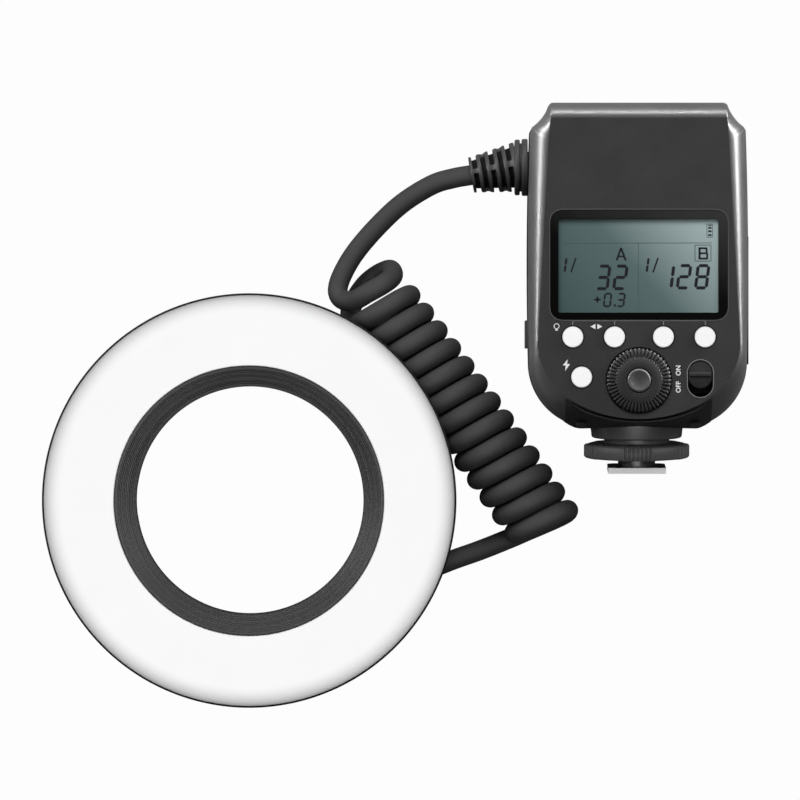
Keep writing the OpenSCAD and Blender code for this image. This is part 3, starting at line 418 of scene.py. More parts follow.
def cord_line():
    """The cord's middle line in millimetres: the lead from the unit, the curls and the lead to the ring head.

    Between the route's points runs a cubic that passes through each of them, and the whole line is cut again into
    even steps.
    """
    lead = np.array([[58.9, 101.8, 18.9], [49.3, 95.9, 16.2], [41, 88.2, 13.4], [34, 80, 11.2]], float)
    loop = np.array([
        [29.8, 72.8, 10.1], [28.4, 67.8, 10.3], [29.9, 64.9, 12], [33.6, 64.5, 16], [38.3, 67, 19.7],
        [43.4, 69.9, 19.1], [46.2, 72.4, 13.6], [45.4, 74.6, 8.2], [41.9, 73.4, 4.2], [38.2, 70.7, 3.4],
        [35.6, 67.6, 3.3], [33.6, 64.2, 3.5], [32.4, 60.5, 5.3], [33.4, 57.7, 8.4],
    ], float)
    tail = np.array([
        [102.5, -4.2, 8], [99.7, -5.8, 4.4], [95, -7.9, 3.3], [89.8, -10.1, 3.3], [84.5, -12.4, 3.3], [75, -16.2, 3.9],
        [66.4, -19.2, 6], BOOT_AT,
    ], float)
    route = np.vstack([RELIEF_TIP, RELIEF_TIP + 5.6 * RELIEF_WAY, lead, loop, curls(), tail])
    ends = np.vstack([2 * route[0] - route[1], route, 2 * route[-1] - route[-2]])
    p0, p1, p2, p3 = (ends[k:len(ends) - 3 + k, None] for k in range(4))
    t = np.linspace(0.0, 1.0, 10, endpoint=False)[None, :, None]
    line = 0.5 * (2 * p1 + (p2 - p0) * t + (2 * p0 - 5 * p1 + 4 * p2 - p3) * t ** 2
                  + (3 * p1 - p0 - 3 * p2 + p3) * t ** 3)
    line = np.vstack([line.reshape(-1, 3), route[-1:]])
    line[:, 2] = np.maximum(line[:, 2], settings()[0].cord_diameter / MM / 2)
    run = np.concatenate([[0.0], np.cumsum(np.linalg.norm(np.diff(line, axis=0), axis=1))])
    steps = np.linspace(0.0, run[-1], int(run[-1] / CORD_STEP))
    return cols(*[np.interp(steps, run, line[:, k]) for k in range(3)]), run[-1]


def hose(line, r):
    """A round section carried along a line: each ring lies across the line, turned from the coil's own direction."""
    ahead = np.gradient(line, axis=0)
    ahead = ahead / np.linalg.norm(ahead, axis=1, keepdims=True)
    side = COIL_WAY - (ahead @ COIL_WAY)[:, None] * ahead
    side = side / np.linalg.norm(side, axis=1, keepdims=True)
    third = np.cross(ahead, side)
    t = np.linspace(0.0, 2 * np.pi, CORD_SIDES, endpoint=False)[None, :, None]
    return filled(line[:, None] + r * (np.cos(t) * side[:, None] + np.sin(t) * third[:, None]))


# Finishes


class Link:
    """A shader's output in an expression: each operator adds one Math node to its finish."""

    def __init__(self, finish, socket):
        self.finish, self.socket = finish, socket

    def __add__(self, other):
        return self.finish.math("ADD", self, other)

    def __sub__(self, other):
        return self.finish.math("SUBTRACT", self, other)

    def __mul__(self, other):
        return self.finish.math("MULTIPLY", self, other)

    def __gt__(self, other):
        return self.finish.math("GREATER_THAN", self, other)

    def __rsub__(self, other):
        return self.finish.math("SUBTRACT", other, self)

    __radd__ = __add__
    __rmul__ = __mul__


class Finish:
    """One material under construction."""

    def __init__(self, name):
        self.material = bpy.data.materials.new(name)
        self.material.use_nodes = True
        self.tree = self.material.node_tree
        self.tree.nodes.clear()

    def add(self, kind, options=None, inputs=None, out=0):
        """A node of any type: its options are set first, then its sockets' values or links. Returns one output."""
        node = self.tree.nodes.new(kind)
        for key, value in (options or {}).items():
            if key == "stops":
                ramp = node.color_ramp
                while len(ramp.elements) < len(value):
                    ramp.elements.new(1.0)
                for stop, (place, shade) in zip(ramp.elements, value):
                    stop.position, stop.color = place, (*shade, 1.0)
            else:
                setattr(node, key, value)
        for key, value in (inputs or {}).items():
            if isinstance(value, Link):
                self.tree.links.new(value.socket, node.inputs[key])
            else:
                node.inputs[key].default_value = value
        return Link(self, node.outputs[out]) if node.outputs else None

    def math(self, operation, *values):
        """A Math node on up to three values."""
        return self.add("ShaderNodeMath", {"operation": operation}, dict(enumerate(values)))

    def place(self, kind="Object"):
        """Coordinates on the piece."""
        return self.add("ShaderNodeTexCoord", out=kind)

    def axis(self, where, name):
        """One coordinate of a place."""
        return self.add("ShaderNodeSeparateXYZ", None, {"Vector": where}, name)

    def noise(self, where, scale, detail=3.0):
        """Soft random values from 0 to 1."""
        inputs = {"Vector": where, "Scale": scale, "Detail": detail, "Roughness": 0.55}
        return self.add("ShaderNodeTexNoise", None, inputs, "Fac")

    def streaks(self, where, scale):
        """Random values drawn out by a scale of their own in each direction."""
        drawn = self.add("ShaderNodeMapping", None, {"Vector": where, "Scale": scale}, "Vector")
        return self.noise(drawn, 1.0)

    def cells(self, where, scale):
        """Distance to the nearest of scattered points, for a moulded grain."""
        return self.add("ShaderNodeTexVoronoi", None, {"Vector": where, "Scale": scale}, "Distance")

    def blend(self, share, first, second):
        """A colour between two others."""
        inputs = {0: share, 6: (*first, 1.0) if isinstance(first, tuple) else first,
                  7: (*second, 1.0) if isinstance(second, tuple) else second}
        return self.add("ShaderNodeMix", {"data_type": "RGBA"}, inputs, 2)

    def ramp(self, share, *stops):
        """A colour that runs through several others, each with its place from 0 to 1."""
        return self.add("ShaderNodeValToRGB", {"stops": stops}, {"Fac": share}, "Color")

    def bump(self, height, depth):
        """A normal from heights, where 1 stands for the given depth in metres."""
        return self.add("ShaderNodeBump", None, {"Height": height, "Distance": depth, "Strength": 1.0}, "Normal")

    def done(self, **inputs):
        """The finish's shader with the given sockets; words in a socket's name are joined by _."""
        named = {key.replace("_", " "): value for key, value in inputs.items()}
        for key, value in named.items():
            if isinstance(value, tuple) and len(value) == 3:
                named[key] = (*value, 1.0)
        shader = self.add("ShaderNodeBsdfPrincipled", None, named, "BSDF")
        return self.out(shader)

    def out(self, shader):
        """The material with that shader on its surface."""
        self.add("ShaderNodeOutputMaterial", None, {"Surface": shader})
        return self.material


def shade(colour, factor):
    """A colour made lighter or darker."""
    return tuple(min(1.0, c * factor) for c in colour)


def moulded(name, colour, rough=0.45, grain=2600.0, depth=0.00002, spread=0.16, gloss=0.3):
    """Moulded plastic: a fine pebbled grain, slow cloudy changes of shade and faint handling gloss."""
    f = Finish(name)
    where = f.place()
    pebbles = f.cells(where, grain)
    cloud = f.noise(where, 90.0)
    speck = f.noise(where, grain * 0.8, 2.0)
    tone = f.blend(cloud * 0.6 + speck * 0.4, shade(colour, 1 - spread), shade(colour, 1 + spread))
    sheen = rough - 0.08 + 0.1 * cloud + 0.06 * speck
    normal = f.bump(pebbles + 0.5 * speck, depth)
    return f.done(Base_Color=tone, Roughness=sheen, Normal=normal, Specular_IOR_Level=gloss)


def white_plastic(name, colour):
    """Smooth white plastic with a faint mottle and a trace of dust."""
    f = Finish(name)
    where = f.place()
    cloud = f.noise(where, 260.0)
    fine = f.noise(where, 3200.0)
    tone = f.blend(cloud, shade(colour, 0.94), shade(colour, 1.03))
    return f.done(Base_Color=tone, Roughness=0.3 + 0.14 * fine, Normal=f.bump(fine, 0.000006))


def opal(name, colour):
    """Opal diffuser: very fine etch and faint cloudiness."""
    f = Finish(name)
    where = f.place()
    etch = f.noise(where, 2400.0, 2.0)
    cloud = f.noise(where, 45.0)
    tone = f.blend(cloud, shade(colour, 0.975), shade(colour, 1.02))
    return f.done(Base_Color=tone, Roughness=0.42 + 0.12 * etch, Normal=f.bump(etch, 0.00001))


def ridged(name, colour):
    """Dark baffle: fine turned lines round its axis over a matt grain, and painted shade: near black at its outer and
    inner edge.
    """
    f = Finish(name)
    where = f.place()
    x, y = f.axis(where, "X"), f.axis(where, "Y")
    radius = f.math("SQRT", x * x + y * y)
    turned_lines = f.add("ShaderNodeTexNoise", {"noise_dimensions": "1D"}, {"W": radius, "Scale": 4200.0}, "Fac")
    fine = f.noise(where, 2600.0)
    # painted shade: outside this band the baffle's colour is near black
    face = (radius > 0.0371) - (radius > 0.0428)
    tone = f.blend(0.7 * turned_lines + 0.3 * fine, shade(colour, 0.7), shade(colour, 1.3))
    tone = f.blend(face, shade(colour, 0.15), tone)
    return f.done(Base_Color=tone, Roughness=0.34 + 0.1 * fine, Normal=f.bump(turned_lines, 0.00011),
                  Specular_IOR_Level=0.7)


def cord_rubber(name, colour):
    """Rubber jacket: drawn lines along the cord, a fine matt bloom and slow changes of shade."""
    f = Finish(name)
    streak = f.streaks(f.place("UV"), (3.0, 60.0, 1.0))
    where = f.place()
    bloom = f.noise(where, 2200.0)
    cloud = f.noise(where, 70.0)
    tone = f.blend(0.4 * streak + 0.3 * bloom + 0.3 * cloud, shade(colour, 0.72), shade(colour, 1.28))
    sheen = 0.54 + 0.14 * bloom + 0.08 * streak
    return f.done(Base_Color=tone, Roughness=sheen, Normal=f.bump(0.6 * bloom + 0.4 * streak, 0.00003))


def metal(name, colour, rough=0.3, scratch=(60.0, 2600.0, 2600.0), depth=0.000008):
    """Drawn or brushed metal: long scratches in one direction, a few clouds of handling."""
    f = Finish(name)
    where = f.place()
    lines = f.streaks(where, scratch)
    cloud = f.noise(where, 140.0)
    tone = f.blend(0.6 * lines + 0.4 * cloud, shade(colour, 0.82), shade(colour, 1.12))
    return f.done(Base_Color=tone, Metallic=1.0, Roughness=rough - 0.06 + 0.16 * lines, Normal=f.bump(lines, depth))


def gloss_black(name):
    """Black glossy window border with faint fingerprints and a painted reflection: lighter towards its upper right."""
    f = Finish(name)
    where = f.place()
    smear = f.noise(where, 120.0, 4.0)
    x, y = f.axis(where, "X"), f.axis(where, "Y")
    # painted reflection: the border runs from black to grey towards its upper right
    painted_light_slope = (x - 0.1) * 6.0 + (y - 0.06) * 16.0 + 0.1 * smear
    tone = f.ramp(painted_light_slope, (0.0, grey(4)), (0.45, grey(9)), (1.0, grey(58)))
    return f.done(Base_Color=tone, Roughness=0.1 + 0.07 * smear, Specular_IOR_Level=0.15,
                  Normal=f.bump(smear, 0.000004))


def display_glass(name):
    """Grey-green display with painted light: lighter towards its upper right, with a fine pixel-like grain under a
    glossy pane.
    """
    f = Finish(name)
    where = f.place()
    x, y = f.axis(where, "X"), f.axis(where, "Y")
    # painted light: the display's colour brightens towards its upper right
    painted_light_slope = (x - 0.099) * 12.5 + (y - 0.0595) * 11.0
    fine = f.noise(where, 2800.0)
    tone = f.ramp(painted_light_slope + 0.05 * fine, (0.0, grey(72, (-14, 6, 6))), (0.5, grey(97, (-13, 6, 6))),
                  (1.0, grey(178, (-11, 6, 6))))
    return f.done(Base_Color=tone, Roughness=0.3 + 0.1 * fine, Coat_Weight=0.15, Coat_Roughness=0.06)


def ink(name, colour, rough=0.5):
    """Printed ink with slightly uneven cover, also used for painted highlight lines."""
    f = Finish(name)
    fine = f.noise(f.place(), 3000.0)
    return f.done(Base_Color=f.blend(fine, shade(colour, 0.86), shade(colour, 1.05)), Roughness=rough)


def circuit(name):
    """Green circuit board: a lacquer over copper tracks on a square raster."""
    f = Finish(name)
    where = f.place()
    tracks = f.add("ShaderNodeTexBrick", None, {
        "Vector": where, "Scale": 160.0, "Mortar Size": 0.03,
        "Color1": (0.0, 0.0, 0.0, 1.0), "Color2": (0.2, 0.2, 0.2, 1.0), "Mortar": (1.0, 1.0, 1.0, 1.0)}, "Fac")
    cloud = f.noise(where, 300.0)
    tone = f.blend(0.5 * tracks + 0.4 * cloud, (0.008, 0.07, 0.025), (0.03, 0.16, 0.05))
    return f.done(Base_Color=tone, Roughness=0.3 + 0.15 * cloud, Normal=f.bump(tracks, 0.00003))


def wrapped(name, colour, band):
    """A cell's or capacitor's printed sleeve: bands of shade across its length under a clear film."""
    f = Finish(name)
    where = f.place()
    bands = f.add("ShaderNodeTexWave", {"bands_direction": "X"}, {"Vector": where, "Scale": 9.0, "Distortion": 0.0})
    cloud = f.noise(where, 500.0)
    tone = f.blend(0.8 * (bands > 0.55) + 0.2 * cloud, colour, band)
    return f.done(Base_Color=tone, Roughness=0.25 + 0.15 * cloud)


def clear_glass(name):
    """Flash tube: pale glass with a milky middle."""
    f = Finish(name)
    cloud = f.noise(f.place(), 400.0)
    tone = f.blend(cloud, (0.75, 0.8, 0.85), (0.92, 0.95, 0.98))
    return f.done(Base_Color=tone, Roughness=0.08 + 0.1 * cloud, Alpha=0.75)


MATERIALS = {}


def finish_of(key):
    """The finish with that name, made when it is first asked for."""
    c = settings()[1]
    makers = {
        "panel": (moulded, "grained_panel", c.panel, 0.4, 2300.0, 0.000014, 0.3, 0.85),
        # painted light: the panel's upward faces get a copy of its plastic 1.5 times lighter and less glossy, standing
        # in for the lamps' reflection
        "face": (moulded, "matt_panel", shade(c.panel, 1.5), 0.62, 2300.0, 0.000014, 0.3, 0.1),
        "body": (moulded, "body_plastic", c.body, 0.42),
        "control": (moulded, "control_plastic", c.control, 0.42, 3000.0, 0.00001),
        "set": (moulded, "set_plastic", grey(66), 0.36, 3200.0, 0.000008, 0.14, 0.5),
        "collar": (moulded, "collar_plastic", grey(64), 0.42, 3200.0, 0.000008, 0.12, 0.9),
        "wheel": (moulded, "wheel_plastic", grey(86), 0.4, 3000.0, 0.00001),
        # painted shade: this near-black plastic also colours the button skirts, the switch foot and the relief's core,
        # where shade falls
        "skirt": (moulded, "dark_skirt", grey(18), 0.6),
        # painted highlight: a copy of the cord's rubber made 1.5 times lighter for the reliefs and the socket cover
        "rubber": (moulded, "relief_rubber", shade(c.rubber, 1.5), 0.38, 2400.0, 0.00001, 0.16, 0.8),
        "mat": (moulded, "key_mat", grey(120), 0.6),
        "button": (white_plastic, "button_white", c.button),
        "lamp": (white_plastic, "lamp_resin", (0.85, 0.78, 0.35)),
        "guide": (white_plastic, "light_guide", (0.75, 0.78, 0.8)),
        "diffuser": (opal, "opal_diffuser", c.diffuser),
        "baffle": (ridged, "ridged_baffle", c.baffle),
        "cord": (cord_rubber, "cord_rubber", c.rubber),
        "window": (gloss_black, "window_black"),
        "display": (display_glass, "display_glass"),
        "segment": (ink, "segment_ink", grey(26, (0, 0, 12)), 0.4),
        "ruled": (ink, "ruled_ink", grey(84, (-6, 2, 2)), 0.4),
        "print": (ink, "print_white", c.ink),
        # print, and also a painted highlight round the switch slot
        "line": (ink, "print_grey", grey(120)),
        # painted highlight: a grey ring on the edge of the window's rebate
        "edge": (ink, "edge_grey", grey(78)),
        "shoe": (metal, "shoe_metal", (0.92, 0.91, 0.9), 0.7),
        "steel": (metal, "screw_steel", (0.42, 0.42, 0.43), 0.34, (1200.0, 1200.0, 300.0)),
        # also a painted shade on the foot's neck and base
        "dark_steel": (metal, "blackened_screw", (0.1, 0.1, 0.1), 0.38, (1200.0, 1200.0, 300.0)),
        "gold": (metal, "contact_gold", (0.9, 0.62, 0.22), 0.25),
        "reflector": (metal, "bright_reflector", (0.85, 0.85, 0.86), 0.18),
        "board": (circuit, "circuit_board"),
        "cell": (wrapped, "cell_sleeve", (0.03, 0.03, 0.035), (0.5, 0.25, 0.06)),
        "capacitor": (wrapped, "capacitor_sleeve", (0.02, 0.025, 0.06), (0.3, 0.3, 0.32)),
        "glass": (clear_glass, "tube_glass"),
    }
    if key not in MATERIALS:
        maker, *values = makers[key]
        MATERIALS[key] = maker(*values)
    return MATERIALS[key]


# Pieces


def values_of(elements, key, width=1, kind=float):
    """One property of all of a mesh's elements, a row for each where it is more than one number."""
    values = np.empty(len(elements) * width, kind)
    elements.foreach_get(key, values)
    return values.reshape(-1, width) if width > 1 else values


def put(name, data):
    """A new object in the scene."""
    thing = bpy.data.objects.new(name, data)
    bpy.context.scene.collection.objects.link(thing)
    return thing


def raw(name, shape):
    """A shape as an object in metres, with its doubles merged and its faces turned outwards."""
    points, faces = shape
    mesh = bpy.data.meshes.new(name)
    mesh.from_pydata((np.asarray(points) * MM).tolist(), [], [list(map(int, face)) for face in faces])
    bm = bmesh.new()
    bm.from_mesh(mesh)
    bmesh.ops.remove_doubles(bm, verts=bm.verts, dist=1e-7)
    bmesh.ops.dissolve_degenerate(bm, edges=bm.edges, dist=1e-8)
    bmesh.ops.recalc_face_normals(bm, faces=bm.faces)
    bm.to_mesh(mesh)
    bm.free()
    return put(name, mesh)


def applied(thing):
    """An object's mesh with its modifiers worked in."""
    graph = bpy.context.evaluated_depsgraph_get()
    mesh = bpy.data.meshes.new_from_object(thing.evaluated_get(graph))
    thing.modifiers.clear()
    old, thing.data = thing.data, mesh
    bpy.data.meshes.remove(old)


def carve(thing, *tools):
    """Cuts closed shapes out of a closed piece, one after another."""
    for shape in tools:
        tool = raw("tool", shape)
        cut = thing.modifiers.new("cut", "BOOLEAN")
        cut.operation, cut.solver, cut.object = "DIFFERENCE", "EXACT", tool
        applied(thing)
        bpy.data.objects.remove(tool)


def soften(thing, width, angle):
    """A small round on every edge sharper than the angle."""
    bevel = thing.modifiers.new("edge_round", "BEVEL")
    bevel.width, bevel.segments, bevel.limit_method = width * MM, 2, "ANGLE"
    bevel.angle_limit, bevel.harden_normals = math.radians(angle), True
    bevel.use_clamp_overlap = True


def dress(thing, finish, body, nodes=(), sharp=35.0):
    """Shades a piece smoothly up to an angle, gives it its finish, and sets what it rides on and stands for."""
    thing.data.shade_smooth()
    thing.data.set_sharp_from_angle(angle=math.radians(sharp))
    thing.data.materials.clear()
    thing.data.materials.append(finish_of(finish))
    if body:
        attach(thing, body)
    if nodes:
        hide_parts(*nodes)
    for name, finishes in LIT.items():
        if finish in finishes and (name, body) != ("rim_lit", "ring_head"):
            group = bpy.data.collections[name]
            group.objects.link(thing)
            if name == "not_pale":
                group.collection_objects[-1].light_linking.link_state = "EXCLUDE"
    return thing


def piece(name, shape, finish, body, nodes=(), sharp=35.0):
    """A shape as a finished piece."""
    return dress(raw(name, shape), finish, body, nodes, sharp)


def on_unit(name, shape, finish, nodes=(), sharp=35.0):
    """A shape in the control unit's own frame as a finished piece that rides on it."""
    return piece(name, placed(shape, UNIT), finish, "control_unit", nodes, sharp)


def softened_node(node, name, finish, body, width=0.25, angle=30.0):
    """A copy of a CAD node with its triangles merged into faces and its edges rounded."""
    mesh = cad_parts[node].data.copy()
    mesh.name = name
    bm = bmesh.new()
    bm.from_mesh(mesh)
    bmesh.ops.remove_doubles(bm, verts=bm.verts, dist=1e-6)
    bmesh.ops.dissolve_limit(bm, angle_limit=math.radians(1.0), verts=bm.verts, edges=bm.edges)
    bm.to_mesh(mesh)
    bm.free()
    thing = put(name, mesh)
    dress(thing, finish, body, [node], angle)
    soften(thing, width, angle)
    return thing


def refinish(**finishes):
    """A better material on each CAD node that is named, whose shape stays."""
    for node, finish in finishes.items():
        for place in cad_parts[node].material_slots:
            place.link = "OBJECT"
            place.material = finish_of(finish)


def refinish_faces(thing, finish, chosen):
    """A second finish on the chosen faces of a piece."""
    thing.data.materials.append(finish_of(finish))
    thing.data.polygons.foreach_set("material_index", chosen.astype(np.int32))


class RINGFLASH_OT_stage(bpy.types.Operator):
    """Camera straight above, a white table and soft studio light"""

    bl_idname = "ringflash.stage"
    bl_label = "Stage"

    def lamp(self, name, at, target, size, power, only=None, mirrored=True):
        """One soft box, for all pieces or only for a collection of them, with or without its reflection in them."""
        data = bpy.data.lights.new(name, "AREA")
        data.shape, data.size, data.size_y = "RECTANGLE", size[0], size[1]
        data.energy = power * settings()[2].lamp_level
        lamp = put(name, data)
        lamp.location = at
        lamp.rotation_euler = (Vector(target) - Vector(at)).to_track_quat("-Z", "Y").to_euler()
        lamp.visible_glossy = mirrored
        if only:
            lamp.light_linking.receiver_collection = only

    def white_to_sight(self, finish, shader, level):
        """White for rays that see the surface directly or through glass; its own shading for the rest."""
        rays = [finish.add("ShaderNodeLightPath", out=kind) for kind in ("Is Camera Ray", "Is Transmission Ray")]
        seen = finish.math("MAXIMUM", *rays)
        white = finish.add("ShaderNodeEmission", None, {"Color": (1.0, 1.0, 1.0, 1.0), "Strength": 1.0})
        return finish.add("ShaderNodeMixShader", None, {0: seen * level, 1: shader, 2: white})

    def execute(self, context):
        scene = context.scene
        scene.view_settings.view_transform = "Standard"
        stage = settings()[2]
        data = bpy.data.cameras.new("camera")
        data.sensor_width, data.sensor_fit, data.lens = 36.0, "HORIZONTAL", stage.camera_lens
        data.clip_start, data.clip_end = 0.1, 20.0
        scene.camera = put("camera", data)
        scene.camera.location = (*CAMERA_AT, stage.camera_height)

        middle = (0.05, 0.03, 0.02)
        unit, dark, pale, rest = (bpy.data.collections.new(name) for name in LIT)
        self.lamp("top_box", (-0.1, 1.5, 1.1), middle, (1.3, 0.8), 36.0, rest, False)
        self.lamp("left_box", (-1.1, 0.45, 0.8), middle, (0.5, 1.3), 6.0, rest)
        self.lamp("right_box", (1.25, 0.45, 0.8), middle, (0.5, 1.3), 5.0, rest)
        rolls = (0.125, 0.09, 0.045)
        self.lamp("left_rim", (-0.375, 0.36, 0.05), rolls, (0.6, 0.09), 9.5, unit)
        self.lamp("right_rim", (0.625, 0.36, 0.09), rolls, (0.6, 0.14), 13.0, unit)
        self.lamp("far_rim", (0.125, 0.95, 0.075), rolls, (0.7, 0.06), 7.5, unit)
        self.lamp("near_box", (0.125, -1.0, 0.75), rolls, (0.6, 0.2), 1.0, unit)
        self.lamp("crown_box", (0.1, -0.15, 1.3), middle, (0.9, 0.5), 5.0, dark)
        self.lamp("pale_box", (0.0, 0.0, 1.4), (0.0, 0.0, 0.0), (2.6, 2.6), 33.0, pale)

        world = bpy.data.worlds.new("room")
        world.use_nodes = True
        tree = world.node_tree
        where = tree.nodes.new("ShaderNodeTexCoord").outputs["Generated"]
        turn = tree.nodes.new("ShaderNodeSeparateXYZ")
        fade = tree.nodes.new("ShaderNodeMapRange")
        fade.interpolation_type = "SMOOTHSTEP"
        for key, value in (("From Min", -0.5), ("From Max", 0.5), ("To Min", 0.05), ("To Max", 0.25)):
            fade.inputs[key].default_value = value
        tree.links.new(where, turn.inputs[0])
        tree.links.new(turn.outputs["Y"], fade.inputs["Value"])
        tree.links.new(fade.outputs["Result"], tree.nodes["Background"].inputs["Strength"])
        tree.nodes["Background"].inputs["Color"].default_value = (1.0, 1.0, 1.0, 1.0)
        scene.world = world

        reach = 3.0 / MM
        floor = raw("table", block((-reach, -reach, -2.0), (reach, reach, -0.02)))
        f = Finish("table_white")
        cloud = f.noise(f.place(), 30.0)
        paper = f.add("ShaderNodeBsdfDiffuse", None, {"Color": f.blend(cloud, grey(108), grey(116))})
        floor.data.materials.append(f.out(self.white_to_sight(f, paper, 0.98)))
        return {"FINISHED"}


class RINGFLASH_OT_cord(bpy.types.Operator):
    """The curly cord from the unit to the ring head, as one tube"""

    bl_idname = "ringflash.cord"
    bl_label = "Curly cord"

    def execute(self, context):
        sizes = settings()[0]
        line, run = cord_line()
        cord = raw("curly_cord", hose(line, sizes.cord_diameter / MM / 2))
        self.wrap(cord, line)
        dress(cord, "cord", None, ["cord_upper_lead", "cord_curl", "cord_lower_lead"], 60.0)
        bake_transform(cord)
        return {"FINISHED"}

    def wrap(self, cord, line):
        """A UV map whose first value runs along the cord and whose second goes round it once."""
        mesh = cord.data
        layer = mesh.uv_layers.new(name="along")
        corner = values_of(mesh.loops, "vertex_index", kind=int)
        row, side = np.divmod(np.minimum(corner, len(line) * CORD_SIDES - 1), CORD_SIDES)
        total = values_of(mesh.polygons, "loop_total", kind=int)
        face = np.repeat(np.arange(len(total)), total)
        first, last = np.full(len(total), CORD_SIDES), np.zeros(len(total), int)
        np.minimum.at(first, face, side)
        np.maximum.at(last, face, side)
        seam = (last - first)[face] > CORD_SIDES / 2
        around = np.where(seam & (side == 0), CORD_SIDES, side) / CORD_SIDES
        layer.data.foreach_set("uv", cols(row * CORD_STEP * MM * CORD_UV, around).astype(np.float32).ravel())


class RINGFLASH_OT_front_cover(bpy.types.Operator):
    """The control panel with its rolled edges and all its openings"""

    bl_idname = "ringflash.front_cover"
    bl_label = "Front cover"

    def execute(self, context):
        lines = half_outlines()
        turns = np.radians(np.concatenate([np.linspace(0, 20, 11), np.linspace(20, 90, 25)[1:]]))
        rings = [level(inset(whole(lines[1]), 0.3), PANEL_TOP)]
        rings += [whole(panel_roll(turn, lines)) for turn in turns]
        hollow = inset(whole(lines[1]), 1.2)
        rings += [level(whole(lines[0]), PART_Z), level(hollow, PART_Z), level(hollow, PANEL_IN)]
        cover = raw("front_cover_skin", placed(filled(rings), UNIT))
        rebates = joined(column(rounded_box(WINDOW_AT, 56.7, 35.1, 4.1), 52.6, CUT[1]),
                         column(circle(DIAL_AT, 10.7, 96), 53.0, CUT[1]))
        openings = [rounded_box(WINDOW_AT, 53.1, 31.5, 1.0, 4), circle(DIAL_AT, 6.3), stadium(SWITCH_AT, 8.0, 11.7)]
        openings += [circle(at, 3.7) for at in BUTTONS.values()]
        through = joined(*[column(outline, *CUT) for outline in openings])
        switch_room = [column(outline, PART_Z - 1.0, PANEL_IN + 0.02) for outline in (
            stadium(SWITCH_AT, 9.5, 12.9), rounded_box(SWITCH_AT, 8.7, 9.8, 0.2, 2))]
        carve(cover, *[placed(tool, UNIT) for tool in (rebates, through, *switch_room)])
        dress(cover, "panel", "control_unit", ["front_cover"], 12.0)
        # painted light: the upward faces take the lighter matt copy of the panel plastic
        looks_up = values_of(cover.data.polygons, "normal", 3)[:, 2] > FLAT
        refinish_faces(cover, "face", looks_up)
        soften(cover, settings()[0].edge / MM, 50.0)
        return {"FINISHED"}


class RINGFLASH_OT_rear_cover(bpy.types.Operator):
    """The deep rear half of the housing with its door, socket, relief and foot openings"""

    bl_idname = "ringflash.rear_cover"
    bl_label = "Rear cover"

    def execute(self, context):
        silhouette = whole(half_outlines()[0])
        low = silhouette * [1 - 5 / HALF_W, 1 - 10 / UNIT_H] + [0.0, 5.0]
        turns = np.radians(np.linspace(90, 0, 16))
        rings = [level(low + (silhouette - low) * math.cos(t), 8 * (1 - math.sin(t))) for t in turns]
        hollow = inset(silhouette, 3.0)
        rings += [level(silhouette, PART_Z), level(hollow, PART_Z), level(hollow, 3.0)]
        cover = raw("rear_cover_skin", placed(filled(rings), UNIT))
        recesses = joined(
            block((33.15, 20.25, 4.75), (41.0, 61.75, 39.05)),
            block((-41.0, 25.45, 13.75), (-33.3, 34.95, 32.25)),
        )
        openings = joined(
            block((29.0, 26.35, 6.85), (41.0, 55.65, 36.15)),
            block((-41.0, 26.7, 16.5), (-30.0, 33.7, 29.5)),
            placed(rod(5.1, -8, 4), (-35.1, 84.1, 20.0), axes_along((-1, 0, 0), UP)),
            *[placed(rod(2.3, -1, 33, 40), (s * u, v, 0)) for u, v in ((32.0, 72.0), (25.0, 8.0)) for s in (-1, 1)],
        )
        carve(cover, placed(recesses, UNIT), placed(openings, UNIT),
              placed(rod(*FOOT_BORE), FOOT, FOOT_AXES))
        dress(cover, "body", "control_unit", ["rear_cover"], 20.0)
        soften(cover, 0.2, 50.0)
        return {"FINISHED"}


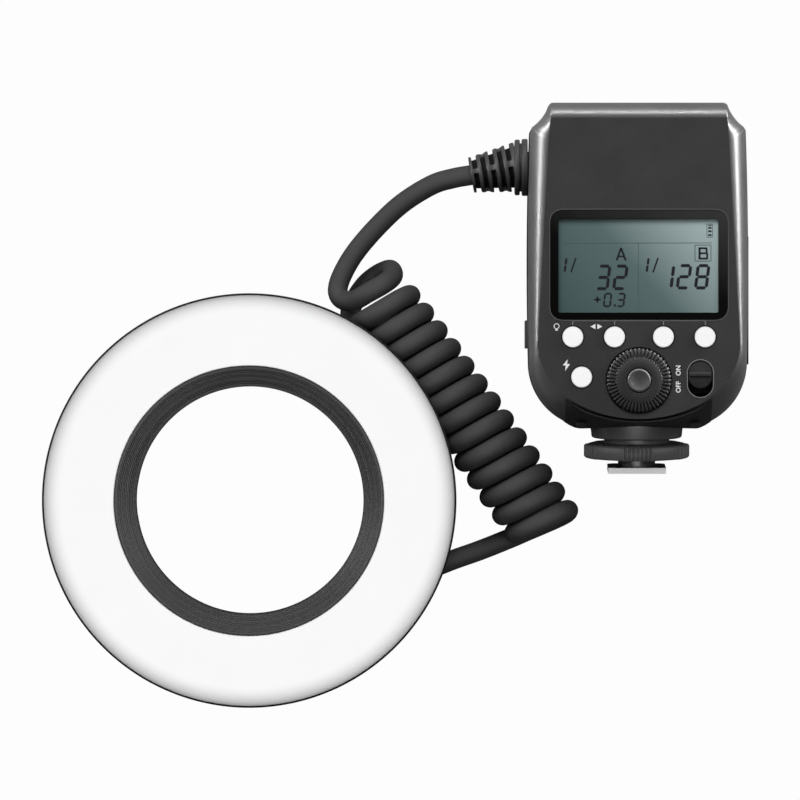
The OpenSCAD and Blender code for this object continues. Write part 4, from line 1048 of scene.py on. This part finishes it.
class RINGFLASH_OT_display(bpy.types.Operator):
    """The window with its black border, the display behind it and its readout"""

    bl_idname = "ringflash.display"
    bl_label = "Display"

    SEGMENTS = {"0": "abcdef", "1": "bc", "2": "abged", "3": "abgcd", "8": "abcdefg"}

    def sides(self, x0, y0, x1, y1, w):
        """A stroke's two ends, its direction and half its width across it."""
        a, b = np.array([x0, y0], float), np.array([x1, y1], float)
        along = (b - a) / np.linalg.norm(b - a)
        return a, b, along, np.array([-along[1], along[0]]) * w / 2

    def line(self, *stroke):
        """A plain stroke between two points."""
        a, b, _, side = self.sides(*stroke)
        return np.array([a + side, a - side, b - side, b + side])

    def bar(self, *stroke):
        """A stroke with pointed ends between two points."""
        a, b, along, side = self.sides(*stroke)
        tip = along * stroke[-1] * 0.4
        return np.array([a, a + tip + side, b - tip + side, b, b - tip - side, a + tip - side])

    def digit(self, sign, at, w, h, bold):
        """Bars of one seven-segment sign, leaning to the right."""
        x, y, gap = w / 2, h / 2, bold * 0.12
        ends = {
            "a": ((-x, y), (x, y)), "b": ((x, y), (x, 0)), "c": ((x, 0), (x, -y)), "d": ((-x, -y), (x, -y)),
            "e": ((-x, 0), (-x, -y)), "f": ((-x, y), (-x, 0)), "g": ((-x, 0), (x, 0)),
        }
        bars = []
        for key in self.SEGMENTS[sign]:
            a, b = (np.array(end, float) for end in ends[key])
            back = (b - a) / np.linalg.norm(b - a) * gap
            bars.append(self.bar(*(a + back), *(b - back), bold))
        lean = np.array([[1.0, 0.0], [0.12, 1.0]])
        return [bar @ lean + np.asarray(at) for bar in bars]

    def readout(self):
        """Strokes of the digits, the two fractions' ones and slashes, the sign and point, the battery and A and B."""
        strokes = []
        for signs, v, w, h, bold in (
            ((("3", -11.4), ("2", -5.9)), 48.2, 3.4, 7.2, 1.0),
            ((("1", 9.0), ("2", 14.4), ("8", 20.2)), 48.4, 3.4, 7.1, 1.0),
            ((("0", -10.0), ("3", -5.7)), 41.0, 2.0, 4.0, 0.6),
        ):
            for sign, u in signs:
                strokes += self.digit(sign, (u, v), w, h, bold)
        for u in (-23.4, 2.8):
            strokes += [self.bar(u - 0.3, 49.9, u - 0.02, 52.1, 0.7), self.bar(u + 0.02, 52.2, u + 0.3, 54.4, 0.7),
                        self.line(u + 1.7, 49.8, u + 3.3, 54.4, 0.5)]
        strokes += [self.line(*stroke) for stroke in (
            (-14.3, 41.1, -12.2, 41.1, 0.55), (-13.25, 40.1, -13.25, 42.1, 0.55), (-8.0, 39.25, -7.3, 39.25, 0.7),
            (22.1, 61.7, 23.2, 61.7, 0.6), (22.1, 62.9, 23.2, 62.9, 0.6), (22.1, 64.0, 23.2, 64.0, 0.6),
            (22.1, 64.8, 23.2, 64.8, 0.3), (-7.1, 53.6, -5.7, 57.6, 0.6), (-5.7, 57.6, -4.2, 53.6, 0.6),
            (-6.6, 54.9, -4.7, 54.9, 0.5), (19.35, 54.0, 19.35, 57.8, 0.65))]
        return strokes + [self.bar(*stroke) for stroke in (
            (19.1, 57.5, 21.9, 57.5, 0.6), (19.1, 55.9, 22.0, 55.9, 0.6), (19.1, 54.2, 22.1, 54.2, 0.6),
            (21.6, 55.8, 21.6, 57.6, 0.6), (21.8, 54.1, 21.8, 56.0, 0.6))]

    def rules(self):
        """The thin lines across the display and the frames of the B and of the battery."""
        return [self.line(*stroke) for stroke in (
            (-24.3, 59.1, 23.4, 59.2, 0.2), (-0.2, 37.3, -0.2, 59.1, 0.2),
            (17.9, 58.5, 23.0, 58.5, 0.25), (17.9, 53.4, 23.0, 53.4, 0.25),
            (17.9, 53.4, 17.9, 58.5, 0.25), (23.0, 53.4, 23.0, 58.5, 0.25),
            (21.7, 61.0, 23.5, 61.0, 0.2), (21.7, 65.2, 23.5, 65.2, 0.2),
            (21.7, 61.0, 21.7, 65.2, 0.2), (23.5, 61.0, 23.5, 65.2, 0.2))]

    def execute(self, context):
        face = 52.66
        outer = rounded_box(WINDOW_AT, 56.5, 34.9, 4.0)
        inner = rounded_box((-0.2, 51.96), 51.0, 30.0, 0.5)
        rim = [level(outer, 52.67), level(outer, 53.7), level(inset(outer, 0.15), 53.85), level(inner, 53.85),
               level(inner, 52.67)]
        soften(on_unit("window_border", tube(rim), "window", ["display_window"], 25.0), 0.08, 60.0)
        on_unit("display_face", column(rounded_box(WINDOW_AT, 52.6, 31.0, 0.3), 49.6, face), "display", ["lcd_panel"])
        for name, strokes, rise, finish in (("readout", self.readout(), 0.025, "segment"),
                                            ("readout_lines", self.rules(), 0.02, "ruled")):
            on_unit(name, joined(*[column(stroke, face - 0.01, face + rise) for stroke in strokes]), finish, ())
        refinish(backlight_frame="guide")
        return {"FINISHED"}


class RINGFLASH_OT_buttons(bpy.types.Operator):
    """Five white push buttons with their skirts, painted dark as shade in the gap round each button"""

    bl_idname = "ringflash.buttons"
    bl_label = "Push buttons"

    def execute(self, context):
        r, top = 3.35, PANEL_TOP + 0.6
        cap = rounded([[0.0, 51.6], [r, 51.6], [r, top - 0.1], [0.0, top]], [0, 0, 0.55, 0], 6)
        skirt = rounded([[0.0, 49.4], [2.2, 49.4], [2.2, 50.5], [4.3, 50.5], [4.3, 51.7], [0.0, 51.7]],
                        [0, 0.1, 0.1, 0.2, 0.2, 0])
        for node, at in BUTTONS.items():
            place = UNIT + [*at, 0.0]
            piece(f"{node}_cap", placed(turned(cap, 72), place), "button", node, [node], 40.0)
            # painted shade: the skirt is near black where it shows in the gap round the cap
            piece(f"{node}_skirt", placed(turned(skirt, 48), place), "skirt", node, ())
        return {"FINISHED"}


class RINGFLASH_OT_dial(bpy.types.Operator):
    """The ribbed select dial and the set button in its middle"""

    bl_idname = "ringflash.dial"
    bl_label = "Select dial"

    def execute(self, context):
        ribs, per_rib = 48, 12
        turn = np.linspace(0.0, 2 * np.pi, ribs * per_rib, endpoint=False)
        tooth = np.clip(0.95 + 1.6 * np.cos(ribs * turn), 0.0, 1.0)
        disc = tube([polar(r, turn, z) for r, z in (
            (3.95, 53.2), (9.7, 53.2), (10.0 + 0.25 * tooth, 53.35), (9.85 + 0.45 * tooth, 53.6),
            (9.85 + 0.45 * tooth, 54.35 + 0.15 * tooth), (9.75 + 0.45 * tooth, 54.45 + 0.3 * tooth),
            (9.5 + 0.3 * tooth, 54.55 + 0.6 * tooth), (9.1, 54.6 + 0.75 * tooth), (8.2, 54.75 + 0.75 * tooth),
            (7.7, 54.9 + 0.6 * tooth), (7.5, 55.1 + 0.4 * tooth), (7.3, 55.48), (7.05, 55.6), (4.4, 55.6),
            (4.1, 55.54), (3.95, 55.4))])
        place = UNIT + [*DIAL_AT, 0.0]
        hub = turned([[3.95, 50.4], [6.0, 50.4], [6.0, 53.3], [3.95, 53.3]], 64)
        tail = turned([[3.95, 47.2], [4.55, 47.2], [4.55, 50.5], [3.95, 50.5]], 64)
        piece("select_dial_disc", placed(joined(disc, hub, tail), place), "control", "select_dial", ["select_dial"],
              50.0)
        dome = rounded([[0.0, 48.8], [3.7, 48.8], [3.7, 55.8], [3.2, 56.1], [1.6, 55.55], [0.0, 55.4]],
                       [0, 0.1, 0.2, 0.3, 1.2, 0], 6)
        piece("set_button_cap", placed(turned(dome, 72), place), "set", "set_button", ["set_button"],
              40.0)
        return {"FINISHED"}


class RINGFLASH_OT_switch(bpy.types.Operator):
    """The sliding power switch"""

    bl_idname = "ringflash.switch"
    bl_label = "Power switch"

    def execute(self, context):
        place = (SWITCH_AT[0], SWITCH_AT[1] + 1.3)
        outline = stadium((0.0, 0.0), 7.6, 8.7, 24)
        cap = filled([level(outline, 51.2), level(outline, 53.4), level(outline * 0.985, 53.6),
                      level(outline * 0.94, 53.7)])
        bar = rounded([[-0.75, 53.6], [-0.55, 54.3], [0.55, 54.3], [0.75, 53.6]], 0.15, 3)
        grip = filled([cols(x, bar[:, 0], bar[:, 1]) for x in (-3.4, 3.4)])
        piece("power_switch_cap", placed(joined(cap, grip), UNIT + [*place, 0.0]), "control", "power_switch",
              ["power_switch"], 30.0)
        # painted shade: the switch's near-black foot fills the slot round the cap
        foot = column(stadium(place, 8.8, 9.6, 24), 50.5, 51.75)
        stem = block((place[0] - 1.5, place[1] - 2.0, 47.3), (place[0] + 1.5, place[1] + 2.0, 50.6))
        piece("power_switch_foot", placed(joined(foot, stem), UNIT), "skirt", "power_switch", ())
        # painted highlight: a thin grey ring on the edge of the switch slot
        slot = tube([level(stadium(SWITCH_AT, w, l, 24), z) for w, l, z in (
            (8.1, 11.8, 53.98), (8.1, 11.8, 54.06), (8.6, 12.3, 54.06), (8.7, 12.4, 53.98))])
        on_unit("switch_slot_painted_highlight", slot, "line", ())
        return {"FINISHED"}


class RINGFLASH_OT_marks(bpy.types.Operator):
    """Printed marks on the panel: lamp, arrows, bolt, switch positions and the ruled line under the window, and a
    painted highlight round the window
    """

    bl_idname = "ringflash.marks"
    bl_label = "Printed marks"

    def word(self, text, at, height):
        """Points and faces of a word that reads upwards, as a thin print."""
        data = bpy.data.curves.new(text, "FONT")
        data.body, data.size, data.align_x, data.align_y = text, height * 1.38 * MM, "CENTER", "CENTER"
        data.extrude, data.offset = 0.00001, 0.00005
        thing = put(text, data)
        graph = bpy.context.evaluated_depsgraph_get()
        mesh = bpy.data.meshes.new_from_object(thing.evaluated_get(graph))
        x, y, z = values_of(mesh.vertices, "co", 3).T / MM
        faces = [list(face.vertices) for face in mesh.polygons]
        bpy.data.objects.remove(thing)
        bpy.data.meshes.remove(mesh)
        return cols(-y, x, z) + [*at, PANEL_TOP + 0.015], faces

    def flat(self, outline):
        """A printed area."""
        return column(outline, PANEL_TOP - 0.01, PANEL_TOP + settings()[0].print_height / MM)

    def ring(self, at, r, w):
        """A printed ring."""
        z = PANEL_TOP
        shape = turned([[r - w / 2, z - 0.01], [r + w / 2, z - 0.01], [r + w / 2, z + 0.03], [r - w / 2, z + 0.03]], 32)
        return placed(shape, (*at, 0.0))

    def execute(self, context):
        bulb = (-26.3, 32.6)
        white = [
            self.ring(bulb, 0.8, 0.24),
            self.flat(np.array([[-0.4, -0.95], [0.4, -0.95], [0.4, -1.4], [-0.4, -1.4]]) + bulb),
            self.flat([[-15.5, 32.5], [-13.9, 33.35], [-13.9, 31.65]]),
            self.flat([[-11.7, 32.5], [-13.3, 31.65], [-13.3, 33.35]]),
            self.flat(np.array([[0.5, 1.85], [-1.15, -0.1], [-0.2, -0.1], [-0.35, -1.85], [1.2, 0.35], [0.2, 0.35]])
                      + (-23.2, 20.2)),
            self.word("ON", (12.6, 18.5), 1.5),
            self.word("OFF", (12.6, 13.2), 1.5),
        ]
        on_unit("panel_marks", joined(*white), "print", ())
        ruled = [self.flat(rounded_box((0.0, 34.4), 42.6, 0.3, 0.05, 1))]
        ruled += [self.flat(rounded_box((u, 33.7), 0.3, 1.6, 0.05, 1)) for u in (-21.15, -7.8, 7.8, 21.15)]
        on_unit("panel_lines", joined(*ruled), "line", ())
        # painted highlight: a thin grey ring on the edge of the window's rebate
        edge = tube([level(rounded_box(WINDOW_AT, w, h, r), z) for w, h, r, z in (
            (56.8, 35.2, 4.1, 53.98), (56.8, 35.2, 4.1, 54.04), (57.3, 35.7, 4.3, 54.04), (57.4, 35.8, 4.3, 53.98))])
        on_unit("window_painted_highlight", edge, "edge", ())
        return {"FINISHED"}


class RINGFLASH_OT_sides(bpy.types.Operator):
    """Battery door, socket cover, base plate and the screws that show"""

    bl_idname = "ringflash.sides"
    bl_label = "Sides and base"

    def base_sheet(self):
        """The base plate's outer skin: rows of the panel's roll and of the side below it, cut at even widths.

        It stands off the cover by 1.05 mm, and runs out to 0.15 mm at its ends with an eighth power of the width.
        """
        lines = half_outlines()
        half = 23.4
        width = np.linspace(-half, half, 61)
        rows = [panel_roll(math.radians(t), lines) for t in np.linspace(6, 90, 29)]
        rows += [level(lines[0], z) for z in np.linspace(PART_Z, 9.0, 12)]
        stand = (1.05 - 0.9 * (abs(width) / half)[:, None] ** 8) * BASE_OUT
        grid = []
        for row in rows:
            end = row[-LOW_POINTS:][::-1]
            grid.append(cols(width, *[np.interp(abs(width), end[:, 0], end[:, k]) for k in (1, 2)]) + stand)
        return np.stack(grid)

    def execute(self, context):
        softened_node("battery_door", "battery_door_leaf", "body", "battery_door", 0.3)
        softened_node("socket_cover", "socket_cover_flap", "rubber", "socket_cover", 0.35)
        outer = self.base_sheet()
        skin = np.concatenate([outer, outer[::-1] - 0.7 * BASE_OUT])
        plate = raw("base_plate_skin", placed(self.closed(skin), UNIT))
        carve(plate, placed(rod(*FOOT_BORE), FOOT, FOOT_AXES))
        dress(plate, "body", "control_unit", ["base_plate"], 30.0)
        soften(plate, 0.2, 50.0)
        refinish(base_screws="dark_steel", cover_screws="steel")
        return {"FINISHED"}

    def closed(self, rows):
        """A sheet folded back under itself, with its two long sides and its last edge closed."""
        points, faces = sheet(rows, wrap_rows=True)
        count, columns = rows.shape[:2]
        k = np.arange(count // 2 - 1)
        for column_at in (0, columns - 1):
            top, under = k * columns + column_at, (count - 1 - k) * columns + column_at
            faces += cols(top, top + columns, under - columns, under).tolist()
        return points, faces


class RINGFLASH_OT_foot(bpy.types.Operator):
    """Collar, ribbed lock wheel and metal shoe foot"""

    bl_idname = "ringflash.foot"
    bl_label = "Foot"

    def wheel(self):
        """The lock wheel: its outline has groups of ribs with a smooth dip between each two."""
        turn = np.linspace(0.0, 2 * np.pi, 1440, endpoint=False)
        groups, ribs, deep = 5, 8, 0.6
        place = ((turn - np.pi / 2) / (2 * np.pi) * groups + 0.25) % 1.0
        rib = np.clip(0.5 + 1.4 * np.cos(2 * np.pi * (place / 0.5 * ribs - 0.5)), 0.0, 1.0)
        hollow = deep + 0.3 * np.sin(np.pi * np.clip((place - 0.5) / 0.5, 0, 1))
        edge = 17.0 - np.where(place < 0.5, deep * (1 - rib), hollow)
        return tube([polar(r, turn, z) for r, z in (
            (7.45, 6.4), (13.5, 6.4), (edge - 0.9, 6.45), (edge - 0.35, 6.65), (edge, 7.1), (edge, 10.4),
            (edge - 0.35, 10.85), (edge - 0.9, 11.05), (13.5, 11.1), (9.75, 11.1), (9.75, 9.9), (7.45, 9.9))])

    def execute(self, context):
        collar = rounded([[6.1, -5.0], [15.0, -5.0], [15.0, 0.1], [14.5, 4.5], [10.5, 4.5], [10.5, 6.3], [6.1, 6.3]],
                         [0.1, 0.2, 0.3, 0.6, 0.3, 0.3, 0.1], 5)
        piece("lock_collar_ring", placed(turned(collar, 144), FOOT, FOOT_AXES), "collar", "control_unit",
              ["lock_collar"], 40.0)
        piece("lock_wheel_ring", placed(self.wheel(), FOOT, FOOT_AXES), "wheel", "lock_wheel", ["lock_wheel"],
              40.0)
        plate = softened_node("shoe_foot", "shoe_foot_plate", "shoe", "control_unit", 0.3, 40.0)
        along = (values_of(plate.data.polygons, "center", 3) / MM - FOOT) @ FOOT_AXES[2]
        # painted shade: the neck's faces, and the foot base, get dark steel where shade falls under the wheel
        refinish_faces(plate, "dark_steel", along < NECK_END)
        refinish(pressure_plate="steel", locking_pin="steel", shoe_contacts="gold", foot_base="dark_steel",
                 foot_nut="steel")
        return {"FINISHED"}


class RINGFLASH_OT_reliefs(bpy.types.Operator):
    """The slotted strain relief at the unit and the boot at the ring head"""

    bl_idname = "ringflash.reliefs"
    bl_label = "Strain reliefs"

    def sleeve(self):
        """A tapered sleeve with staggered slots: its radius drops inside each slot's span of length and turn."""
        t = np.linspace(-1.0, 14.2, 304)[:, None]
        turn = np.linspace(0.0, 360.0, 288, endpoint=False)[None, :]
        r = 7.8 - 2.25 * t / 14.2
        pitch, slot, bridge = 2.8, 1.5, 18.0
        depth = 0 * r * turn
        for k in range(5):
            start = 0.6 + pitch * k
            inside = np.clip(np.minimum(t - start, start + slot - t) / 0.12 + 0.5, 0.0, 1.0)
            for first in (bridge, bridge + 180.0):
                past = (turn - first - 90.0 * (k % 2)) % 360.0
                open_ = np.clip(np.minimum(past, 180.0 - bridge - past) / 3.0 + 0.5, 0.0, 1.0)
                depth = np.maximum(depth, slot * inside * open_)
        crown = 0.2 * np.cos(2 * np.pi * (t - 2.65) / pitch)
        a = np.radians(turn)
        return filled([*polar(r + crown - depth, a, t), *polar(r[-1:] - 0.6, a, 14.25)])

    def execute(self, context):
        axes = np.array([[0.0, 0.0, 1.0], [0.0, 1.0, 0.0], [-1.0, 0.0, 0.0]])
        flange = rounded([[0.0, -5.2], [6.0, -5.2], [6.0, -4.2], [5.0, -4.2], [5.0, 0.0], [9.2, 0.0], [9.2, 1.9],
                          [7.8, 1.9], [7.8, 2.5], [9.0, 2.5], [9.0, 4.2], [0.0, 4.2]],
                         [0, 0.1, 0.1, 0.1, 0.1, 0.25, 0.6, 0.1, 0.1, 0.5, 0.7, 0], 5)
        tilt = axes_along((0.0, -math.sin(RELIEF_LEAN), math.cos(RELIEF_LEAN)), (1.0, 0.0, 0.0))
        sleeve = placed(self.sleeve(), (0.0, 0.0, 4.2), tilt)
        piece("unit_relief", placed(joined(turned(flange, 96), sleeve), RELIEF_ROOT, axes), "rubber", "control_unit",
              ["unit_cord_relief"], 40.0)
        # painted shade: a near-black core shows through the sleeve's slots
        core = placed(turned([[0.0, 0.0], [6.6, 0.0], [4.5, 13.6], [0.0, 13.6]], 72), (0.0, 0.0, 4.2), tilt)
        piece("unit_relief_painted_shade_core", placed(core, RELIEF_ROOT, axes), "skirt", "control_unit", (), 40.0)
        boot = rounded([[0.0, 0.05], [4.0, 0.05], [5.2, 8.5], [5.2, 17.0], [0.0, 17.0]], [0, 0.4, 0.6, 0, 0], 5)
        lean = math.radians(21.7)
        way = np.array([-math.cos(lean), -math.sin(lean), 0.0])
        blank = raw("ring_boot", placed(turned(boot, 72), BOOT_AT, axes_along(way, UP)))
        carve(blank, rod(59.05, -10, 40, 256))
        dress(blank, "rubber", "ring_head", ["ring_cord_relief"], 40.0)
        return {"FINISHED"}


class RINGFLASH_OT_ring_head(bpy.types.Operator):
    """Housing, opal diffuser, ridged baffle and latches of the ring head"""

    bl_idname = "ringflash.ring_head"
    bl_label = "Ring head"

    def execute(self, context):
        housing = rounded([
            [41.6, 0.0], [57.8, 0.0], [59.0, 1.2], [59.0, 19.5], [66.75, 24.0], [66.75, 26.6], [66.2, 26.6],
            [66.2, 25.4], [64.55, 25.4], [64.55, 24.6], [57.0, 20.5], [57.0, 2.0], [41.6, 2.0],
        ], [0.2, 0.4, 0.4, 1.2, 0.5, 0.2, 0.2, 0.1, 0.1, 0.1, 0.3, 0.3, 0.1], 5)
        blank = raw("ring_housing_shell", turned(housing, 256))
        windows = joined(*[block((s * 59.0 - 4, -8.3, 3.0), (s * 59.0 + 4, 8.3, 8.6)) for s in (-1, 1)])
        turn = np.radians(45 + 90 * np.arange(4))
        bores = joined(*[placed(rod(2.3, -1, 1.3, 40), (53 * math.cos(a), 53 * math.sin(a), 0)) for a in turn])
        carve(blank, windows, bores)
        dress(blank, "body", "ring_head", ["ring_housing"], 30.0)
        bend = (60.1, 27.8)
        outer, within = arc(bend, 6.0, 0, 90, 25), arc(bend, 4.4, 90, 0, 13)
        profile = np.vstack([[[66.1, 25.45]], outer, [[43.7, 33.8], [43.45, 33.6], [43.45, 25.45], [45.05, 25.45],
                                                     [45.05, 32.2]], within, [[64.5, 25.45]]])
        piece("opal_ring", turned(profile, 256), "diffuser", "ring_head", ["diffuser"], 30.0)
        bore, rim, count = 36.75, 43.35, 12
        step = np.array([rim - 0.45 - bore, 21.0]) / count
        k = np.repeat(np.arange(count - 1, -1, -1), 2)
        rise = np.tile([1, 0], count)
        ridges = cols(bore + step[0] * k, 13.0 + step[1] * (k + rise))
        corners = np.vstack([[[38.0, 0.0], [41.5, 0.0], [41.5, 22.0], [rim, 24.0], [rim, 34.0]], ridges,
                             [[bore, 3.0], [38.0, 3.0]]])
        reach = np.concatenate([[0.2, 0.2, 0.3, 0.3, 0.15], np.full(2 * count, 0.12), [0.2, 0.2]])
        baffle = raw("baffle_cone", turned(rounded(corners, reach, 3), 256))
        claws = joined(block((-48.0, -4.9, 3.0), (-34.7, 4.9, 5.2)), block((34.7, -4.9, 4.9), (48.0, 4.9, 7.1)))
        carve(baffle, claws)
        dress(baffle, "baffle", "ring_head", ["baffle_ring"], 40.0)
        for node in ("latch_right", "latch_left"):
            softened_node(node, f"{node}_slide", "control", node, 0.3)
        refinish(reflector="reflector", flash_tube_left="glass", flash_tube_right="glass", lamp_leds="lamp",
                 ring_board="board", ring_screws="steel")
        return {"FINISHED"}


class RINGFLASH_OT_inside(bpy.types.Operator):
    """Finishes of the pieces inside the control unit"""

    bl_idname = "ringflash.inside"
    bl_label = "Inside pieces"

    def execute(self, context):
        refinish(dial_encoder="steel", switch_body="skirt", key_mat="mat", main_board="board", board_screws="steel",
                 flash_capacitor="capacitor", battery_box="skirt", battery_cells="cell", battery_contacts="gold",
                 socket_block="skirt")
        return {"FINISHED"}


OPERATORS = (
    RINGFLASH_OT_stage, RINGFLASH_OT_cord, RINGFLASH_OT_front_cover, RINGFLASH_OT_rear_cover, RINGFLASH_OT_display,
    RINGFLASH_OT_buttons, RINGFLASH_OT_dial, RINGFLASH_OT_switch, RINGFLASH_OT_marks, RINGFLASH_OT_sides,
    RINGFLASH_OT_foot, RINGFLASH_OT_reliefs, RINGFLASH_OT_ring_head, RINGFLASH_OT_inside,
)


class RINGFLASH_PT_panel(bpy.types.Panel):
    """The ring flash's settings and steps"""

    bl_idname = "RINGFLASH_PT_panel"
    bl_label = "Ring flash"
    bl_space_type = "VIEW_3D"
    bl_region_type = "UI"
    bl_category = "Ring flash"

    def draw(self, context):
        layout = self.layout
        for group in settings():
            box = layout.box()
            for name in group.__annotations__:
                box.prop(group, name)
        for operator in OPERATORS:
            layout.operator(operator.bl_idname)


CLASSES = (RingFlashSizes, RingFlashColours, RingFlashStage, *OPERATORS, RINGFLASH_PT_panel)


def register():
    for item in CLASSES:
        bpy.utils.register_class(item)
    bpy.types.Scene.ring_flash_sizes = bpy.props.PointerProperty(type=RingFlashSizes)
    bpy.types.Scene.ring_flash_colours = bpy.props.PointerProperty(type=RingFlashColours)
    bpy.types.Scene.ring_flash_stage = bpy.props.PointerProperty(type=RingFlashStage)


def unregister():
    del bpy.types.Scene.ring_flash_stage
    del bpy.types.Scene.ring_flash_colours
    del bpy.types.Scene.ring_flash_sizes
    for item in reversed(CLASSES):
        bpy.utils.unregister_class(item)


def main():
    register()
    for operator in OPERATORS:
        group, name = operator.bl_idname.split(".")
        getattr(getattr(bpy.ops, group), name)()


if __name__ == "__main__":
    main()
